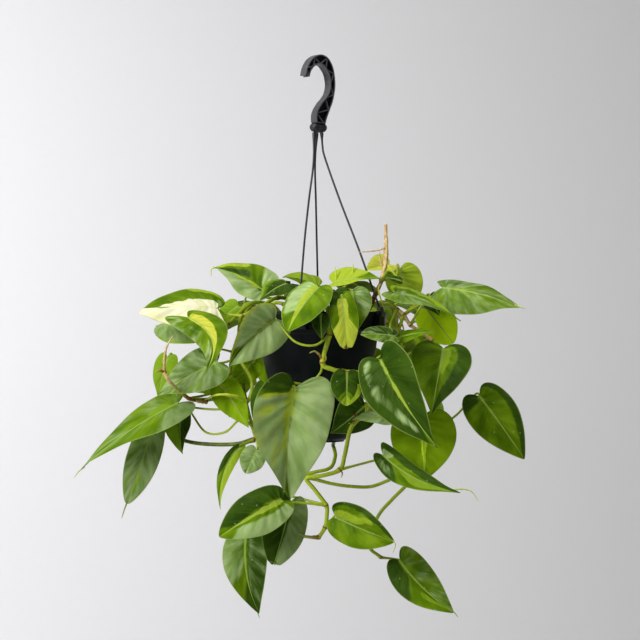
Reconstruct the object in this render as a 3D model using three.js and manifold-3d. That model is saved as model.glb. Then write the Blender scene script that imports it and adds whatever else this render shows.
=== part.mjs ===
// A brasil philodendron in a dark bowl-shaped hanging pot, on a moulded hanger with a
// hook and three strands. Millimetres, +Z up, the front is -Y. The origin is the inner
// top of the hook, the place that the whole thing hangs from.
import * as THREE from "three";
import { mergeVertices } from "three/addons/utils/BufferGeometryUtils.js";
import Module from "manifold-3d";

const wasm = await Module();
wasm.setup();

// Driving dimensions
const GAP = 0.3; // clearance between pieces that touch
const HOOK_TURN = 35; // degrees that the hook's plane is turned from the front
const HOOK_THICK = 12;
const RIB = 1.8; // thickness of the hook's flanges and ribs
const WEB = 3; // thickness of the wall between its two rows of pockets
const HOOK_STEPS = 26; // sides of the hook's curve
const COLLAR_TOP = -69;
const COLLAR_FOOT = -81;
const STRAND_RADIUS = 1.2;
const RIM_RADIUS = 82;
const RIM_TOP = -296;
const POT_WALL = 2;
const POT_SIDES = 24;
const SOIL_TOP = -309;
const HOLE_RADIUS = 3.6; // plain holes in the potting mix that the stems stand in
const HOLE_FOOT = -332;
const STEM_RADIUS = 2.4;
const PETIOLE_RADIUS = 1.4;
const BLADE_THICK = 1.2;

// Outside of the pot from the floor's edge up to the rim, as [radius, height]
const potSide = [
  [30, -451], [36, -447], [46, -422], [54, -398], [63, -368], [69, -342], [72, -321],
  [80, -317], [RIM_RADIUS, RIM_TOP - 1.5], [RIM_RADIUS - 1, RIM_TOP],
];

// Middle line of the hook from its tip over the top and down to the collar, in the
// hook's own plane, as [across, height, width]
const hookSpine = [
  [-19.7, -14.8, 6.4], [-17.3, -6.6, 7.4], [-12.4, 0.5, 9], [-7, 4.4, 10.6], [0, 6.1, 12.2],
  [6.6, 4, 12.2], [12, -2.4, 10.8], [15.7, -10.8, 8.6], [17.3, -23.4, 7.6], [15.4, -34.2, 8.4],
  [11.7, -42.6, 11.4], [6.6, -50.4, 14.6], [1.4, -60.6, 16.2], [0, -70.2, 13.4],
];

// Each strand's route from the collar down to its clip on the rim
const strands = {
  strand_left: [
    [-5, -3, -82], [-6, -8, -120], [-11, -26, -162], [-16, -46, -210], [-20, -66, -262],
    [-22, -81, -294],
  ],
  strand_back: [
    [-2, 4, -82], [-4, 12, -120], [-3, 30, -162], [-2, 50, -210], [-1, 68, -254],
    [-1, 84, -294],
  ],
  strand_right: [
    [4, -1, -82], [5, -2, -97], [8, -4, -112], [26, -15, -164], [48, -28, -222],
    [64, -37, -268], [73, -42, -294],
  ],
};

function solid(geometry) {
  const bare = geometry.clone();
  bare.deleteAttribute("normal");
  bare.deleteAttribute("uv");
  const merged = mergeVertices(bare, 1e-3);
  return new wasm.Manifold(new wasm.Mesh({
    numProp: 3,
    vertProperties: new Float32Array(merged.attributes.position.array),
    triVerts: new Uint32Array(merged.index.array),
  }));
}

function geometryOf(manifold) {
  const mesh = manifold.getMesh();
  const geometry = new THREE.BufferGeometry();
  geometry.setAttribute("position", new THREE.BufferAttribute(mesh.vertProperties, 3));
  geometry.setIndex(new THREE.BufferAttribute(mesh.triVerts, 1));
  geometry.computeVertexNormals();
  return geometry;
}

const plant = new THREE.Group();

function addNode(name, manifold, colour, roughness) {
  const material = new THREE.MeshStandardMaterial({ color: colour, roughness, metalness: 0 });
  const mesh = new THREE.Mesh(geometryOf(manifold), material);
  mesh.name = name;
  plant.add(mesh);
}

function turned(profile, sides) {
  const points = profile.map(([radius, height]) => new THREE.Vector2(radius, height));
  return solid(new THREE.LatheGeometry(points, sides).rotateX(Math.PI / 2));
}

// A round bar of a few flat sides along a smooth curve through the points
function bar(points, radius, sides, steps) {
  const curve = new THREE.CatmullRomCurve3(points, false, "catmullrom", 0.5);
  const section = new THREE.Shape();
  for (let i = 0; i < sides; i++) {
    const angle = (2 * Math.PI * i) / sides;
    const corner = [radius * Math.cos(angle), radius * Math.sin(angle)];
    if (i === 0) section.moveTo(...corner);
    else section.lineTo(...corner);
  }
  section.closePath();
  const options = { steps, extrudePath: curve, bevelEnabled: false };
  return solid(new THREE.ExtrudeGeometry(section, options));
}

const vectors = (points) => points.map((point) => new THREE.Vector3(...point));

// Profile moved inwards by a distance, point by point along the mean normal of its sides
function inset(profile, distance) {
  return profile.map(([radius, height], i) => {
    const before = profile[Math.max(i - 1, 0)];
    const after = profile[Math.min(i + 1, profile.length - 1)];
    const along = new THREE.Vector2(after[0] - before[0], after[1] - before[1]).normalize();
    return [radius - distance * along.y, height + distance * along.x];
  });
}

// Pot: one bowl with a stepped rim, three clip lugs on the rim and drain holes in the floor
function makePot() {
  const inner = inset(potSide, POT_WALL);
  inner[0] = [inner[1][0] - 5, potSide[0][1] + POT_WALL];
  inner[inner.length - 1] = [RIM_RADIUS - POT_WALL, RIM_TOP];
  const floor = potSide[0][1];
  const profile = [[0, floor], ...potSide, ...inner.reverse(), [0, floor + POT_WALL]];
  let pot = turned(profile, POT_SIDES);
  for (const route of Object.values(strands)) {
    const [x, y] = route[route.length - 1];
    const lug = new THREE.Shape();
    lug.moveTo(-9, -21);
    lug.lineTo(9, -21);
    lug.lineTo(5, 0);
    lug.lineTo(-5, 0);
    lug.closePath();
    const block = new THREE.ExtrudeGeometry(lug, { depth: 6, bevelEnabled: false });
    block.rotateX(Math.PI / 2).rotateZ(Math.PI / 2).translate(RIM_RADIUS - 1.6, 0, RIM_TOP + 1);
    block.rotateZ(Math.atan2(y, x));
    pot = pot.add(solid(block));
  }
  for (let i = 0; i < 6; i++) {
    const drain = new THREE.CylinderGeometry(3.5, 3.5, 8, 8).rotateX(Math.PI / 2);
    drain.translate(20 * Math.cos(i * Math.PI / 3), 20 * Math.sin(i * Math.PI / 3), floor);
    pot = pot.subtract(solid(drain));
  }
  return pot;
}

// Potting mix: fills the pot up to a little below the rim, with a plain hole for each stem
function makeSoil(stems) {
  const inside = inset(potSide, POT_WALL + GAP).slice(1, 8);
  const floor = potSide[0][1] + POT_WALL + GAP;
  const radius = RIM_RADIUS - POT_WALL - GAP - 1.4;
  const foot = inside[0][0] - 5;
  const profile = [[0, floor], [foot, floor], ...inside, [radius, SOIL_TOP], [0, SOIL_TOP + 2]];
  let soil = turned(profile, POT_SIDES);
  for (const [x, y] of stems) {
    const height = SOIL_TOP + 10 - HOLE_FOOT;
    const hole = new THREE.CylinderGeometry(HOLE_RADIUS, HOLE_RADIUS, height, 8);
    hole.rotateX(Math.PI / 2).translate(x, y, HOLE_FOOT + height / 2);
    soil = soil.subtract(solid(hole));
  }
  return soil;
}

// Outline of the hook's band, its edges moved in by a margin
function hookOutline(margin) {
  const spine = new THREE.CatmullRomCurve3(vectors(hookSpine));
  const outer = [];
  const inner = [];
  const steps = HOOK_STEPS;
  for (let i = 0; i <= steps; i++) {
    const t = margin / 90 + (i / steps) * (1 - 2 * margin / 90);
    const { x, y, z } = spine.getPoint(t);
    const along = spine.getTangent(t);
    const flat = Math.hypot(along.x, along.y);
    const reach = z / 2 - margin;
    outer.push([x - reach * along.y / flat, y + reach * along.x / flat]);
    inner.push([x + reach * along.y / flat, y - reach * along.x / flat]);
  }
  return { outer, inner };
}

function slab(points, thick, middle) {
  const shape = new THREE.Shape(points.map(([x, y]) => new THREE.Vector2(x, y)));
  const geometry = new THREE.ExtrudeGeometry(shape, { depth: thick, bevelEnabled: false });
  return solid(geometry.rotateX(Math.PI / 2).translate(0, middle + thick / 2, 0));
}

// Hook: a band with pockets on both faces, crossed by thin ribs, above a rounded collar
function makeHook() {
  const full = hookOutline(0);
  const pocket = hookOutline(RIB);
  let hook = slab([...full.outer, ...full.inner.reverse()], HOOK_THICK, 0);
  const depth = (HOOK_THICK - WEB) / 2;
  const ribs = [];
  const rows = 13;
  for (let i = 0; i < rows; i++) {
    const from = pocket[i % 2 ? "outer" : "inner"][Math.round((i / rows) * HOOK_STEPS)];
    const to = pocket[i % 2 ? "inner" : "outer"][Math.round(((i + 1) / rows) * HOOK_STEPS)];
    const length = Math.hypot(to[0] - from[0], to[1] - from[1]) + RIB;
    const rib = new THREE.BoxGeometry(length, HOOK_THICK, RIB * 0.7);
    rib.rotateY(-Math.atan2(to[1] - from[1], to[0] - from[0]));
    rib.translate((from[0] + to[0]) / 2, 0, (from[1] + to[1]) / 2);
    ribs.push(solid(rib));
  }
  const ribbing = wasm.Manifold.union(ribs);
  const outline = [...pocket.outer, ...pocket.inner.reverse()];
  for (const side of [-1, 1]) {
    const cut = slab(outline, depth + 2, side * (WEB / 2 + (depth + 2) / 2));
    hook = hook.subtract(cut.subtract(ribbing));
  }
  const collar = new THREE.CapsuleGeometry(5, 13, 3, 10).rotateZ(Math.PI / 2);
  collar.translate(0, 0, (COLLAR_TOP + COLLAR_FOOT) / 2);
  const ball = new THREE.SphereGeometry(4, 10, 6).translate(-8, -4, -75);
  const foot = new THREE.CylinderGeometry(6.4, 5.4, 3, 12).rotateX(Math.PI / 2);
  foot.translate(0, 0, COLLAR_FOOT + 1.5);
  hook = wasm.Manifold.union([hook, solid(collar), solid(ball), solid(foot)]);
  return hook.rotate([0, 0, HOOK_TURN]);
}

// A strand: a thin bar from under the collar to a small foot on top of its rim lug
function makeStrand(route) {
  const points = vectors(route);
  points[0].z = COLLAR_FOOT - GAP;
  const end = points[points.length - 1];
  const rod = bar(points, STRAND_RADIUS, 5, 10);
  const foot = new THREE.BoxGeometry(5, 8, 4.5).rotateZ(Math.atan2(end.y, end.x));
  foot.translate(end.x, end.y, RIM_TOP + 1 + GAP + 2.25);
  const below = RIM_TOP + 1 + GAP;
  return rod.add(solid(foot)).trimByPlane([0, 0, 1], below).trimByPlane([0, 0, -1], 81 + GAP);
}

// Blades. A blade is a heart swept on its veins: s runs along the edge from the sinus at
// the petiole, round the lobe, to the tip, and r runs from the midrib (0) to the edge (1).
// fold, cup and wave shape it across, droop, side and twist along, cut shortens it, and
// taper says how far its widest place lies from the tip.
const alongEdge = [0, 0.1, 0.24, 0.42, 0.62, 0.82, 1];
const blade = {
  fold: 0.22, cup: 0.28, droop: 0.06, side: 0, twist: 0, wave: 0.05, cut: 1, taper: 0.4,
};

// Where a leaf's upper face looks: aim turns it from the front (0) to the right (90) and
// the back (180), and lift raises it to the sky (90)
function facing(aim, lift) {
  const [a, b] = [aim, lift].map(THREE.MathUtils.degToRad);
  return new THREE.Vector3(Math.sin(a) * Math.cos(b), -Math.cos(a) * Math.cos(b), Math.sin(b));
}

function bladeFrame(leaf) {
  const base = new THREE.Vector3(...leaf.base);
  const along = new THREE.Vector3(...leaf.tip).sub(base);
  const length = along.length();
  along.normalize();
  const up = facing(leaf.aim, leaf.lift);
  up.addScaledVector(along, -up.dot(along)).normalize();
  return { base, along, up, across: new THREE.Vector3().crossVectors(up, along), length };
}

function bladePoint(leaf, frame, s, r) {
  const turn = Math.PI * (1 - s);
  const h = (1 - Math.cos(turn)) / 2;
  const share = (2 * leaf.taper + 1) / (2 * leaf.taper + 2);
  const widest = 2 * Math.sqrt(1 - share) * share ** (leaf.taper + 0.5);
  const lobe = 0.2 * h * (1 - (1 - Math.sin(turn)) ** 3);
  const edgeX = 0.9 * (1 - h) - lobe + 0.1 * (1 - h) ** 12;
  const edgeY = Math.sin(turn) * h ** leaf.taper / widest;
  const ribX = s ** 2.9;
  const x = Math.min(ribX + (edgeX - ribX) * Math.abs(r), leaf.cut);
  const y = edgeY * r;
  const half = leaf.width / 2;
  const arch = 4 * x * (1 - x);
  const roll = THREE.MathUtils.degToRad(leaf.twist) * (x - 0.3);
  const rise = leaf.fold * Math.abs(y) - leaf.cup * y * y
    + leaf.wave * y * y * Math.sin(9 * s + leaf.width * Math.sign(r));
  const offAcross = half * (y * Math.cos(roll) - rise * Math.sin(roll));
  const offUp = half * (y * Math.sin(roll) + rise * Math.cos(roll));
  return frame.base.clone()
    .addScaledVector(frame.along, x * frame.length)
    .addScaledVector(frame.across, offAcross + leaf.side * frame.length * arch)
    .addScaledVector(frame.up, offUp + leaf.droop * frame.length * arch);
}

// The blade as a thin closed solid: its grid, the same grid one thickness below, and a rim
function makeBlade(leaf) {
  const frame = bladeFrame(leaf);
  const across = leaf.plain || leaf.width < 36 ? [-1, 0, 1] : [-1, -0.55, 0, 0.55, 1];
  const inner = alongEdge.slice(1, -1);
  const grid = [bladePoint(leaf, frame, 0, 0)];
  for (const s of inner) for (const r of across) grid.push(bladePoint(leaf, frame, s, r));
  grid.push(bladePoint(leaf, frame, 1, 0));
  const count = grid.length;
  const lower = frame.up.clone().multiplyScalar(-BLADE_THICK);
  const vertices = [...grid, ...grid.map((point) => point.clone().add(lower))];
  const at = (i, j) => 1 + i * across.length + j;
  const faces = [];
  const last = across.length - 1;
  for (let j = 0; j < last; j++) {
    faces.push([0, at(0, j), at(0, j + 1)]);
    faces.push([count - 1, at(inner.length - 1, j + 1), at(inner.length - 1, j)]);
    for (let i = 0; i < inner.length - 1; i++) {
      faces.push([at(i, j), at(i + 1, j), at(i + 1, j + 1)]);
      faces.push([at(i, j), at(i + 1, j + 1), at(i, j + 1)]);
    }
  }
  const rim = [0];
  for (let i = 0; i < inner.length; i++) rim.push(at(i, 0));
  rim.push(count - 1);
  for (let i = inner.length - 1; i >= 0; i--) rim.push(at(i, last));
  const below = faces.map(([a, b, c]) => [a + count, c + count, b + count]);
  const walls = rim.flatMap((a, i) => {
    const b = rim[(i + 1) % rim.length];
    return [[a, a + count, b], [b, a + count, b + count]];
  });
  return new wasm.Manifold(new wasm.Mesh({
    numProp: 3,
    vertProperties: new Float32Array(vertices.flatMap((point) => point.toArray())),
    triVerts: new Uint32Array([...faces, ...below, ...walls].flat()),
  }));
}

// A petiole: leaves the vine at its node and comes up to the blade's sinus from behind
function makePetiole(leaf, from) {
  const { base, along, up } = bladeFrame(leaf);
  const reach = leaf.reach ?? Math.min(12, base.distanceTo(from) / 3);
  const under = base.clone().addScaledVector(up, -reach).addScaledVector(along, -reach / 2);
  const end = base.clone().addScaledVector(up, -BLADE_THICK / 2).addScaledVector(along, 1.5);
  const points = [from, ...vectors(leaf.via ?? []), under, end];
  return bar(points, PETIOLE_RADIUS, 4, 2 * points.length - 2);
}

// A vine: its stem, with every petiole and blade fused to it
function vinePieces(vine) {
  const buried = [[...vine.root, HOLE_FOOT + GAP], [...vine.root, SOIL_TOP - 8]];
  const points = vectors([...buried, ...vine.path]);
  const stem = new THREE.CatmullRomCurve3(points, false, "catmullrom", 0.5);
  const pieces = [bar(points, STEM_RADIUS, 5, Math.round(1.6 * points.length))];
  for (const leaf of vine.leaves) {
    const full = { ...blade, ...leaf, plain: vine.plain };
    const node = (leaf.at + buried.length) / (points.length - 1);
    pieces.push(makePetiole(full, stem.getPoint(node)));
    pieces.push(makeBlade(full));
  }
  return pieces;
}

// Every vine starts at its root in the potting mix, climbs over the rim and trails. A
// leaf is given by the stem point that it grows at, its base, its tip and its width.
const vines = {
  vine_front: {
    root: [4, -46],
    path: [
      [4, -46, -302], [6, -62, -287], [9, -86, -288], [13, -97, -304], [13, -97, -323],
      [5, -93, -355], [16, -91, -363], [29, -88, -366], [46, -84, -368], [58, -76, -382],
      [60, -67, -403], [56, -63, -417], [45, -62, -424], [37, -62, -436], [31, -64, -464],
      [25, -66, -481], [4, -68, -488], [-14, -66, -491], [-4, -64, -505], [9, -62, -523],
      [10, -60, -535], [8, -58, -549], [0, -56, -562],
    ],
    leaves: [
      { at: 3, base: [27, -90, -279], tip: [33, -107, -344], width: 34, aim: 12, lift: 5,
        cut: 0.9, taper: 0, reach: 4 },
      { at: 3, base: [3, -103, -301], tip: [4, -106, -329], width: 22, aim: -10, lift: 5,
        reach: 4 },
      { at: 5, base: [-26, -108, -383], tip: [-32, -128, -511], width: 102, aim: 26, lift: 5,
        fold: 0.48, side: -0.09, taper: 0.3, via: [[2, -86, -368], [-12, -88, -380]] },
      { at: 7, base: [33, -94, -367], tip: [32, -100, -405], width: 38, aim: 10, lift: 0,
        taper: 0 },
      { at: 8, base: [72, -110, -352], tip: [136, -134, -452], width: 78, aim: -38, lift: 0,
        fold: 0.42 },
      { at: 10, base: [84, -72, -419], tip: [39, -78, -422], width: 28, aim: 10, lift: 50 },
      { at: 11, base: [54, -46, -408], tip: [14, -40, -440], width: 50, aim: 25, lift: 0 },
      { at: 15, base: [76, -72, -464], tip: [164, -104, -505], width: 38, aim: 0, lift: 40,
        side: -0.13 },
      { at: 19, base: [-43, -82, -515], tip: [-114, -104, -556], width: 56, aim: -10, lift: 20,
        taper: 0.05 },
      { at: 19, base: [-32, -56, -519], tip: [-53, -66, -595], width: 52, aim: 10, lift: 0,
        cut: 0.94, taper: 0 },
      { at: 21, base: [21, -74, -536], tip: [88, -98, -562], width: 50, aim: 0, lift: -10,
        fold: 0.4, taper: 0.1 },
      { at: 22, base: [-86, -30, -560], tip: [-70, -48, -652], width: 54, aim: 10, lift: 0,
        fold: 0.3, side: -0.08, taper: 0.25 },
      { at: 4, base: [-50, -96, -305], tip: [-103, -122, -359], width: 60, aim: 28, lift: -8,
        fold: 0.42, side: -0.07, taper: 0.3, reach: 5,
        via: [[-4, -108, -335], [-28, -104, -330]] },
    ],
  },
  vine_top: {
    root: [14, -16],
    path: [[14, -16, -302], [16, -24, -284], [14, -40, -275], [12, -58, -274]],
    leaves: [
      { at: 3, base: [0, -88, -268], tip: [-35, -122, -319], width: 52, aim: -22, lift: 22,
        taper: 0 },
      { at: 2, base: [39, -72, -272], tip: [45, -88, -320], width: 46, aim: 12, lift: 10 },
      { at: 1, base: [1, 18, -263], tip: [-43, 8, -254], width: 44, aim: 0, lift: 60 },
    ],
  },
  vine_top_left: {
    root: [-26, -30],
    path: [
      [-26, -30, -302], [-32, -36, -284], [-48, -50, -280], [-66, -60, -289], [-88, -64, -301],
    ],
    leaves: [
      { at: 4, base: [-118, -55, -292], tip: [-210, -72, -298], width: 64, aim: 0, lift: 38,
        fold: -0.12, cup: 0.1, side: -0.02, taper: 0.2 },
      { at: 2, base: [-63, -40, -273], tip: [-125, -24, -243], width: 70, aim: 32, lift: 45,
        fold: 0.42 },
      { at: 1, base: [-97, 16, -289], tip: [-123, 10, -310], width: 30, aim: 0, lift: 30,
        via: [[-58, -14, -272], [-84, 10, -274]] },
      { at: 1, base: [-38, -46, -263], tip: [-68, -80, -283], width: 36, aim: 0, lift: 50 },
    ],
  },
  vine_top_right: {
    root: [50, -14],
    path: [
      [50, -14, -302], [56, -20, -290], [66, -27, -278], [75, -34, -259], [79, -32, -229],
      [80, -30, -211], [80, -30, -193],
    ],
    leaves: [
      { at: 1, base: [19, -46, -262], tip: [75, -51, -258], width: 36, aim: 0, lift: 55,
        fold: 0.6, reach: 4, via: [[46, -34, -266], [30, -40, -264]] },
      { at: 3, base: [85, 0, -239], tip: [55, -20, -248], width: 32, aim: 0, lift: 40,
        fold: 0.5 },
      { at: 3, base: [98, 6, -245], tip: [113, 8, -289], width: 45, aim: 0, lift: 10, fold: 0.45,
        taper: 0.1, via: [[92, -28, -254]] },
      { at: 3, base: [97, -58, -260], tip: [77, -62, -256], width: 12, aim: 0, lift: 40,
        reach: 3, via: [[84, -48, -247]] },
    ],
  },
  vine_right: {
    root: [52, -30],
    path: [
      [52, -30, -302], [62, -30, -288], [83, -28, -287], [93, -32, -293], [101, -38, -300],
      [109, -36, -312], [120, -34, -319], [135, -32, -330],
    ],
    leaves: [
      { at: 7, base: [148, -36, -340], tip: [131, -90, -416], width: 72, aim: 0, lift: 30,
        fold: 0.3 },
      { at: 4, base: [149, -10, -267], tip: [239, -30, -291], width: 58, aim: 0, lift: 42,
        fold: -0.2, taper: 0.35 },
      { at: 3, base: [89, -56, -273], tip: [166, -78, -307], width: 50, aim: 0, lift: 70,
        taper: 0.9 },
      { at: 4, base: [134, 8, -277], tip: [145, 0, -301], width: 26, aim: 0, lift: 20 },
      { at: 5, base: [131, 10, -293], tip: [162, 0, -334], width: 46, aim: 170, lift: -10,
        taper: 0 },
      { at: 3, base: [89, -86, -325], tip: [49, -100, -323], width: 26, aim: 0, lift: 40,
        fold: 0.3, taper: 0, reach: 4, via: [[84, -66, -314]] },
      { at: 4, base: [91, -66, -328], tip: [137, -80, -320], width: 24, aim: 0, lift: 55 },
      { at: 4, base: [98, -54, -341], tip: [99, -58, -360], width: 16, aim: 60, lift: 0 },
    ],
  },
  vine_right_low: {
    root: [58, 4],
    path: [
      [58, 4, -302], [66, 4, -287], [86, 2, -287], [94, 0, -310], [102, -8, -350],
      [114, -18, -390], [124, -20, -414], [123, -18, -450], [114, -28, -484],
      [105, -38, -500], [88, -42, -517], [70, -46, -538], [60, -36, -572], [74, -26, -588],
    ],
    leaves: [
      { at: 6, base: [124, -36, -420], tip: [125, -58, -493], width: 78, aim: 178, lift: -10,
        taper: 0.15 },
      { at: 6, base: [192, -20, -397], tip: [244, -34, -471], width: 60, aim: 10, lift: 0,
        fold: 0.25, taper: 0.2, via: [[145, -16, -428], [164, -16, -420]] },
      { at: 13, base: [97, -18, -593], tip: [160, -40, -652], width: 50, aim: 0, lift: 10,
        side: -0.05, taper: 0.2 },
      { at: 2, base: [122, 36, -304], tip: [166, 58, -344], width: 52, aim: 80, lift: 35 },
      { at: 4, base: [130, 16, -346], tip: [156, 38, -400], width: 44, aim: 70, lift: 10 },
    ],
  },
  vine_left: {
    root: [-50, -14],
    path: [
      [-50, -14, -302], [-62, -18, -287], [-86, -24, -288], [-93, -34, -310], [-92, -52, -350],
      [-78, -60, -378], [-84, -62, -402], [-106, -56, -398], [-132, -48, -400],
      [-151, -66, -398], [-171, -96, -378], [-178, -99, -366],
    ],
    leaves: [
      { at: 4, base: [-118, -74, -355], tip: [-187, -72, -394], width: 54, aim: -10, lift: 20 },
      { at: 4, base: [-76, -44, -356], tip: [-104, -48, -383], width: 34, aim: 180, lift: -30 },
      { at: 6, base: [-166, -44, -404], tip: [-280, -62, -482], width: 58, aim: 0, lift: 55,
        droop: 0.05, taper: 0.7, via: [[-116, -54, -411]] },
      { at: 8, base: [-180, -8, -351], tip: [-191, -18, -399], width: 30, aim: -20, lift: 0,
        via: [[-158, -30, -394]] },
      { at: 9, base: [-125, -30, -384], tip: [-151, -34, -392], width: 26, aim: 0, lift: 50 },
    ],
  },
  vine_left_low: {
    root: [-44, 6],
    path: [
      [-44, 6, -302], [-58, 4, -287], [-86, 4, -288], [-94, -4, -312], [-92, -20, -360],
      [-86, -38, -400], [-78, -50, -430], [-73, -54, -446],
    ],
    leaves: [
      { at: 6, base: [-163, -21, -417], tip: [-161, -30, -465], width: 44, aim: -40, lift: 0,
        fold: 0.5, via: [[-92, -56, -423], [-110, -50, -438], [-134, -38, -438]] },
      { at: 7, base: [-197, -18, -434], tip: [-227, -32, -524], width: 40, aim: 10, lift: 0,
        taper: 0, via: [[-104, -40, -453], [-157, -24, -450]] },
      { at: 5, base: [-113, -62, -383], tip: [-81, -76, -432], width: 38, aim: 160, lift: -10 },
      { at: 6, base: [-62, -86, -382], tip: [-68, -98, -441], width: 34, aim: -35, lift: 0 },
      { at: 7, base: [-95, -66, -458], tip: [-114, -72, -528], width: 17, aim: 0, lift: 20,
        side: -0.1, twist: 60 },
      { at: 7, base: [-72, -66, -458], tip: [-85, -72, -485], width: 30, aim: 0, lift: 10,
        taper: 0 },
    ],
  },
  vine_far_left: {
    root: [-56, -34],
    path: [
      [-56, -34, -302], [-66, -38, -287], [-82, -44, -288], [-106, -54, -310],
      [-132, -60, -323],
    ],
    leaves: [
      { at: 4, base: [-150, -92, -303], tip: [-132, -114, -371], width: 52, aim: 0, lift: 10,
        side: 0.27, taper: 0.7, reach: 5, via: [[-140, -80, -334]] },
      { at: 3, base: [-183, -30, -310], tip: [-125, -44, -334], width: 44, aim: 0, lift: 30 },
    ],
  },
  vine_back: {
    root: [26, 38],
    path: [
      [26, 38, -302], [32, 58, -287], [38, 78, -287], [41, 92, -308], [38, 98, -350],
      [28, 100, -395], [23, 86, -436], [19, 60, -455], [18, 30, -458], [18, 6, -458],
      [19, -16, -460], [20, -34, -468], [14, -50, -480], [-6, -57, -485], [-21, -54, -489],
      [-20, -47, -491], [-4, -45, -494], [16, -45, -499], [38, -47, -502], [62, -50, -502],
      [84, -52, -494],
    ],
    plain: true,
    leaves: [
      { at: 2, base: [60, 98, -288], tip: [98, 150, -328], width: 60, aim: 150, lift: 35 },
      { at: 3, base: [8, 112, -316], tip: [-6, 148, -388], width: 64, aim: 182, lift: 20 },
      { at: 4, base: [56, 118, -350], tip: [72, 140, -424], width: 62, aim: 165, lift: 10 },
      { at: 5, base: [-2, 114, -396], tip: [-20, 130, -472], width: 58, aim: 188, lift: 5 },
    ],
  },
  vine_back_left: {
    root: [-30, 34],
    path: [
      [-30, 34, -302], [-42, 48, -287], [-58, 64, -287], [-70, 72, -308], [-78, 78, -345],
      [-78, 82, -385], [-66, 82, -420],
    ],
    plain: true,
    leaves: [
      { at: 2, base: [-80, 88, -288], tip: [-128, 132, -326], width: 60, aim: -148, lift: 35 },
      { at: 3, base: [-52, 108, -326], tip: [-66, 138, -402], width: 62, aim: -172, lift: 15 },
      { at: 4, base: [-92, 86, -362], tip: [-108, 104, -424], width: 52, aim: -140, lift: 5 },
      { at: 6, base: [-44, 100, -424], tip: [-50, 116, -488], width: 50, aim: -170, lift: 0 },
      { at: 1, base: [-34, 16, -262], tip: [-74, 40, -270], width: 46, aim: -150, lift: 60 },
      { at: 1, base: [-18, 42, -266], tip: [-40, 92, -284], width: 44, aim: -170, lift: 55 },
    ],
  },
  vine_back_right: {
    root: [40, 20],
    path: [
      [40, 20, -302], [56, 34, -287], [72, 48, -287], [84, 56, -310], [98, 62, -350],
      [106, 62, -390], [104, 58, -424],
    ],
    plain: true,
    leaves: [
      { at: 2, base: [98, 62, -282], tip: [150, 96, -318], width: 60, aim: 122, lift: 35 },
      { at: 3, base: [116, 80, -326], tip: [136, 112, -398], width: 62, aim: 140, lift: 15 },
      { at: 5, base: [126, 50, -372], tip: [152, 72, -440], width: 54, aim: 110, lift: 5 },
      { at: 4, base: [80, 92, -366], tip: [94, 116, -428], width: 54, aim: 165, lift: 0 },
      { at: 1, base: [34, 26, -262], tip: [76, 56, -276], width: 40, aim: 150, lift: 60 },
      { at: 1, base: [22, 58, -270], tip: [20, 106, -288], width: 40, aim: 178, lift: 50 },
    ],
  },
  vine_side_left: {
    root: [-50, 24],
    path: [
      [-50, 24, -302], [-64, 30, -287], [-80, 34, -287], [-92, 38, -310], [-104, 38, -345],
      [-108, 34, -372],
    ],
    plain: true,
    leaves: [
      { at: 2, base: [-106, 46, -298], tip: [-160, 68, -330], width: 54, aim: -105, lift: 35 },
      { at: 4, base: [-128, 26, -340], tip: [-162, 44, -390], width: 50, aim: -95, lift: 15 },
      { at: 5, base: [-106, 52, -374], tip: [-110, 74, -426], width: 44, aim: -140, lift: 0 },
    ],
  },
};

addNode("pot", makePot(), 0x1c211e, 0.45);
addNode("potting_mix", makeSoil(Object.values(vines).map((vine) => vine.root)), 0x2e2218, 0.95);
addNode("hanger_hook", makeHook(), 0x26262a, 0.4);
for (const [name, route] of Object.entries(strands)) {
  addNode(name, makeStrand(route), 0x333336, 0.4);
}
for (const [name, vine] of Object.entries(vines)) {
  addNode(name, wasm.Manifold.union(vinePieces(vine)), 0x5f8f3a, 0.45);
}

export default plant;
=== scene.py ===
# A brasil philodendron in a dark hanging pot, carried by a moulded hook with three
# strands. Sizes are written in millimetres, as in the solids, and turned into metres.
import math
import bpy
import numpy as np
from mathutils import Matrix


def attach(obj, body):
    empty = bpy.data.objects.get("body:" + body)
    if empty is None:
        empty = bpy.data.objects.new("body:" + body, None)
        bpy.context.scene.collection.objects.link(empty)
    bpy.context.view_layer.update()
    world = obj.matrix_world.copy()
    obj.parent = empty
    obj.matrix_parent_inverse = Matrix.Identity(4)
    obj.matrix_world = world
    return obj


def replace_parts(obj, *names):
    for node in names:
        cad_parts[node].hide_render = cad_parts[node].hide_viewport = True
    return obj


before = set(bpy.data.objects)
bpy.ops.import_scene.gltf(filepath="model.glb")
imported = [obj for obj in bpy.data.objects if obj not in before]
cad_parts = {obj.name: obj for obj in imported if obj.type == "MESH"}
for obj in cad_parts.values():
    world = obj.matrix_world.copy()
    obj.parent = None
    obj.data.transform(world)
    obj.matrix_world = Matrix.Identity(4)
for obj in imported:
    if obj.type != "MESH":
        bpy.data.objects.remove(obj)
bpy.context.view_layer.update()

# Studio. The plant hangs in front of a sheet of pale paper that curves from the wall to
# the floor. A wide soft light stands at the front left, a weaker one at the right.
MM = 0.001
EYE, VIEW_WIDTH, FILM = (2, -2600, -306), 768, 36
WALL, FLOOR, SWEEP = 4200, -1900, 1500
PAPER_FRONT, PAPER_TOP, PAPER_SIDE = -5000, 4500, 6000
PLANT = (0, 0, -350)


def make_mesh(name, points, faces, material, soft=True):
    """A mesh object from points in millimetres and faces, at the origin."""
    mesh = bpy.data.meshes.new(name)
    mesh.from_pydata((np.asarray(points, float) * MM).tolist(), [], faces)
    mesh.polygons.foreach_set("use_smooth", np.full(len(mesh.polygons), soft))
    mesh.materials.append(material)
    mesh.update()
    thing = bpy.data.objects.new(name, mesh)
    bpy.context.scene.collection.objects.link(thing)
    return thing


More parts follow.
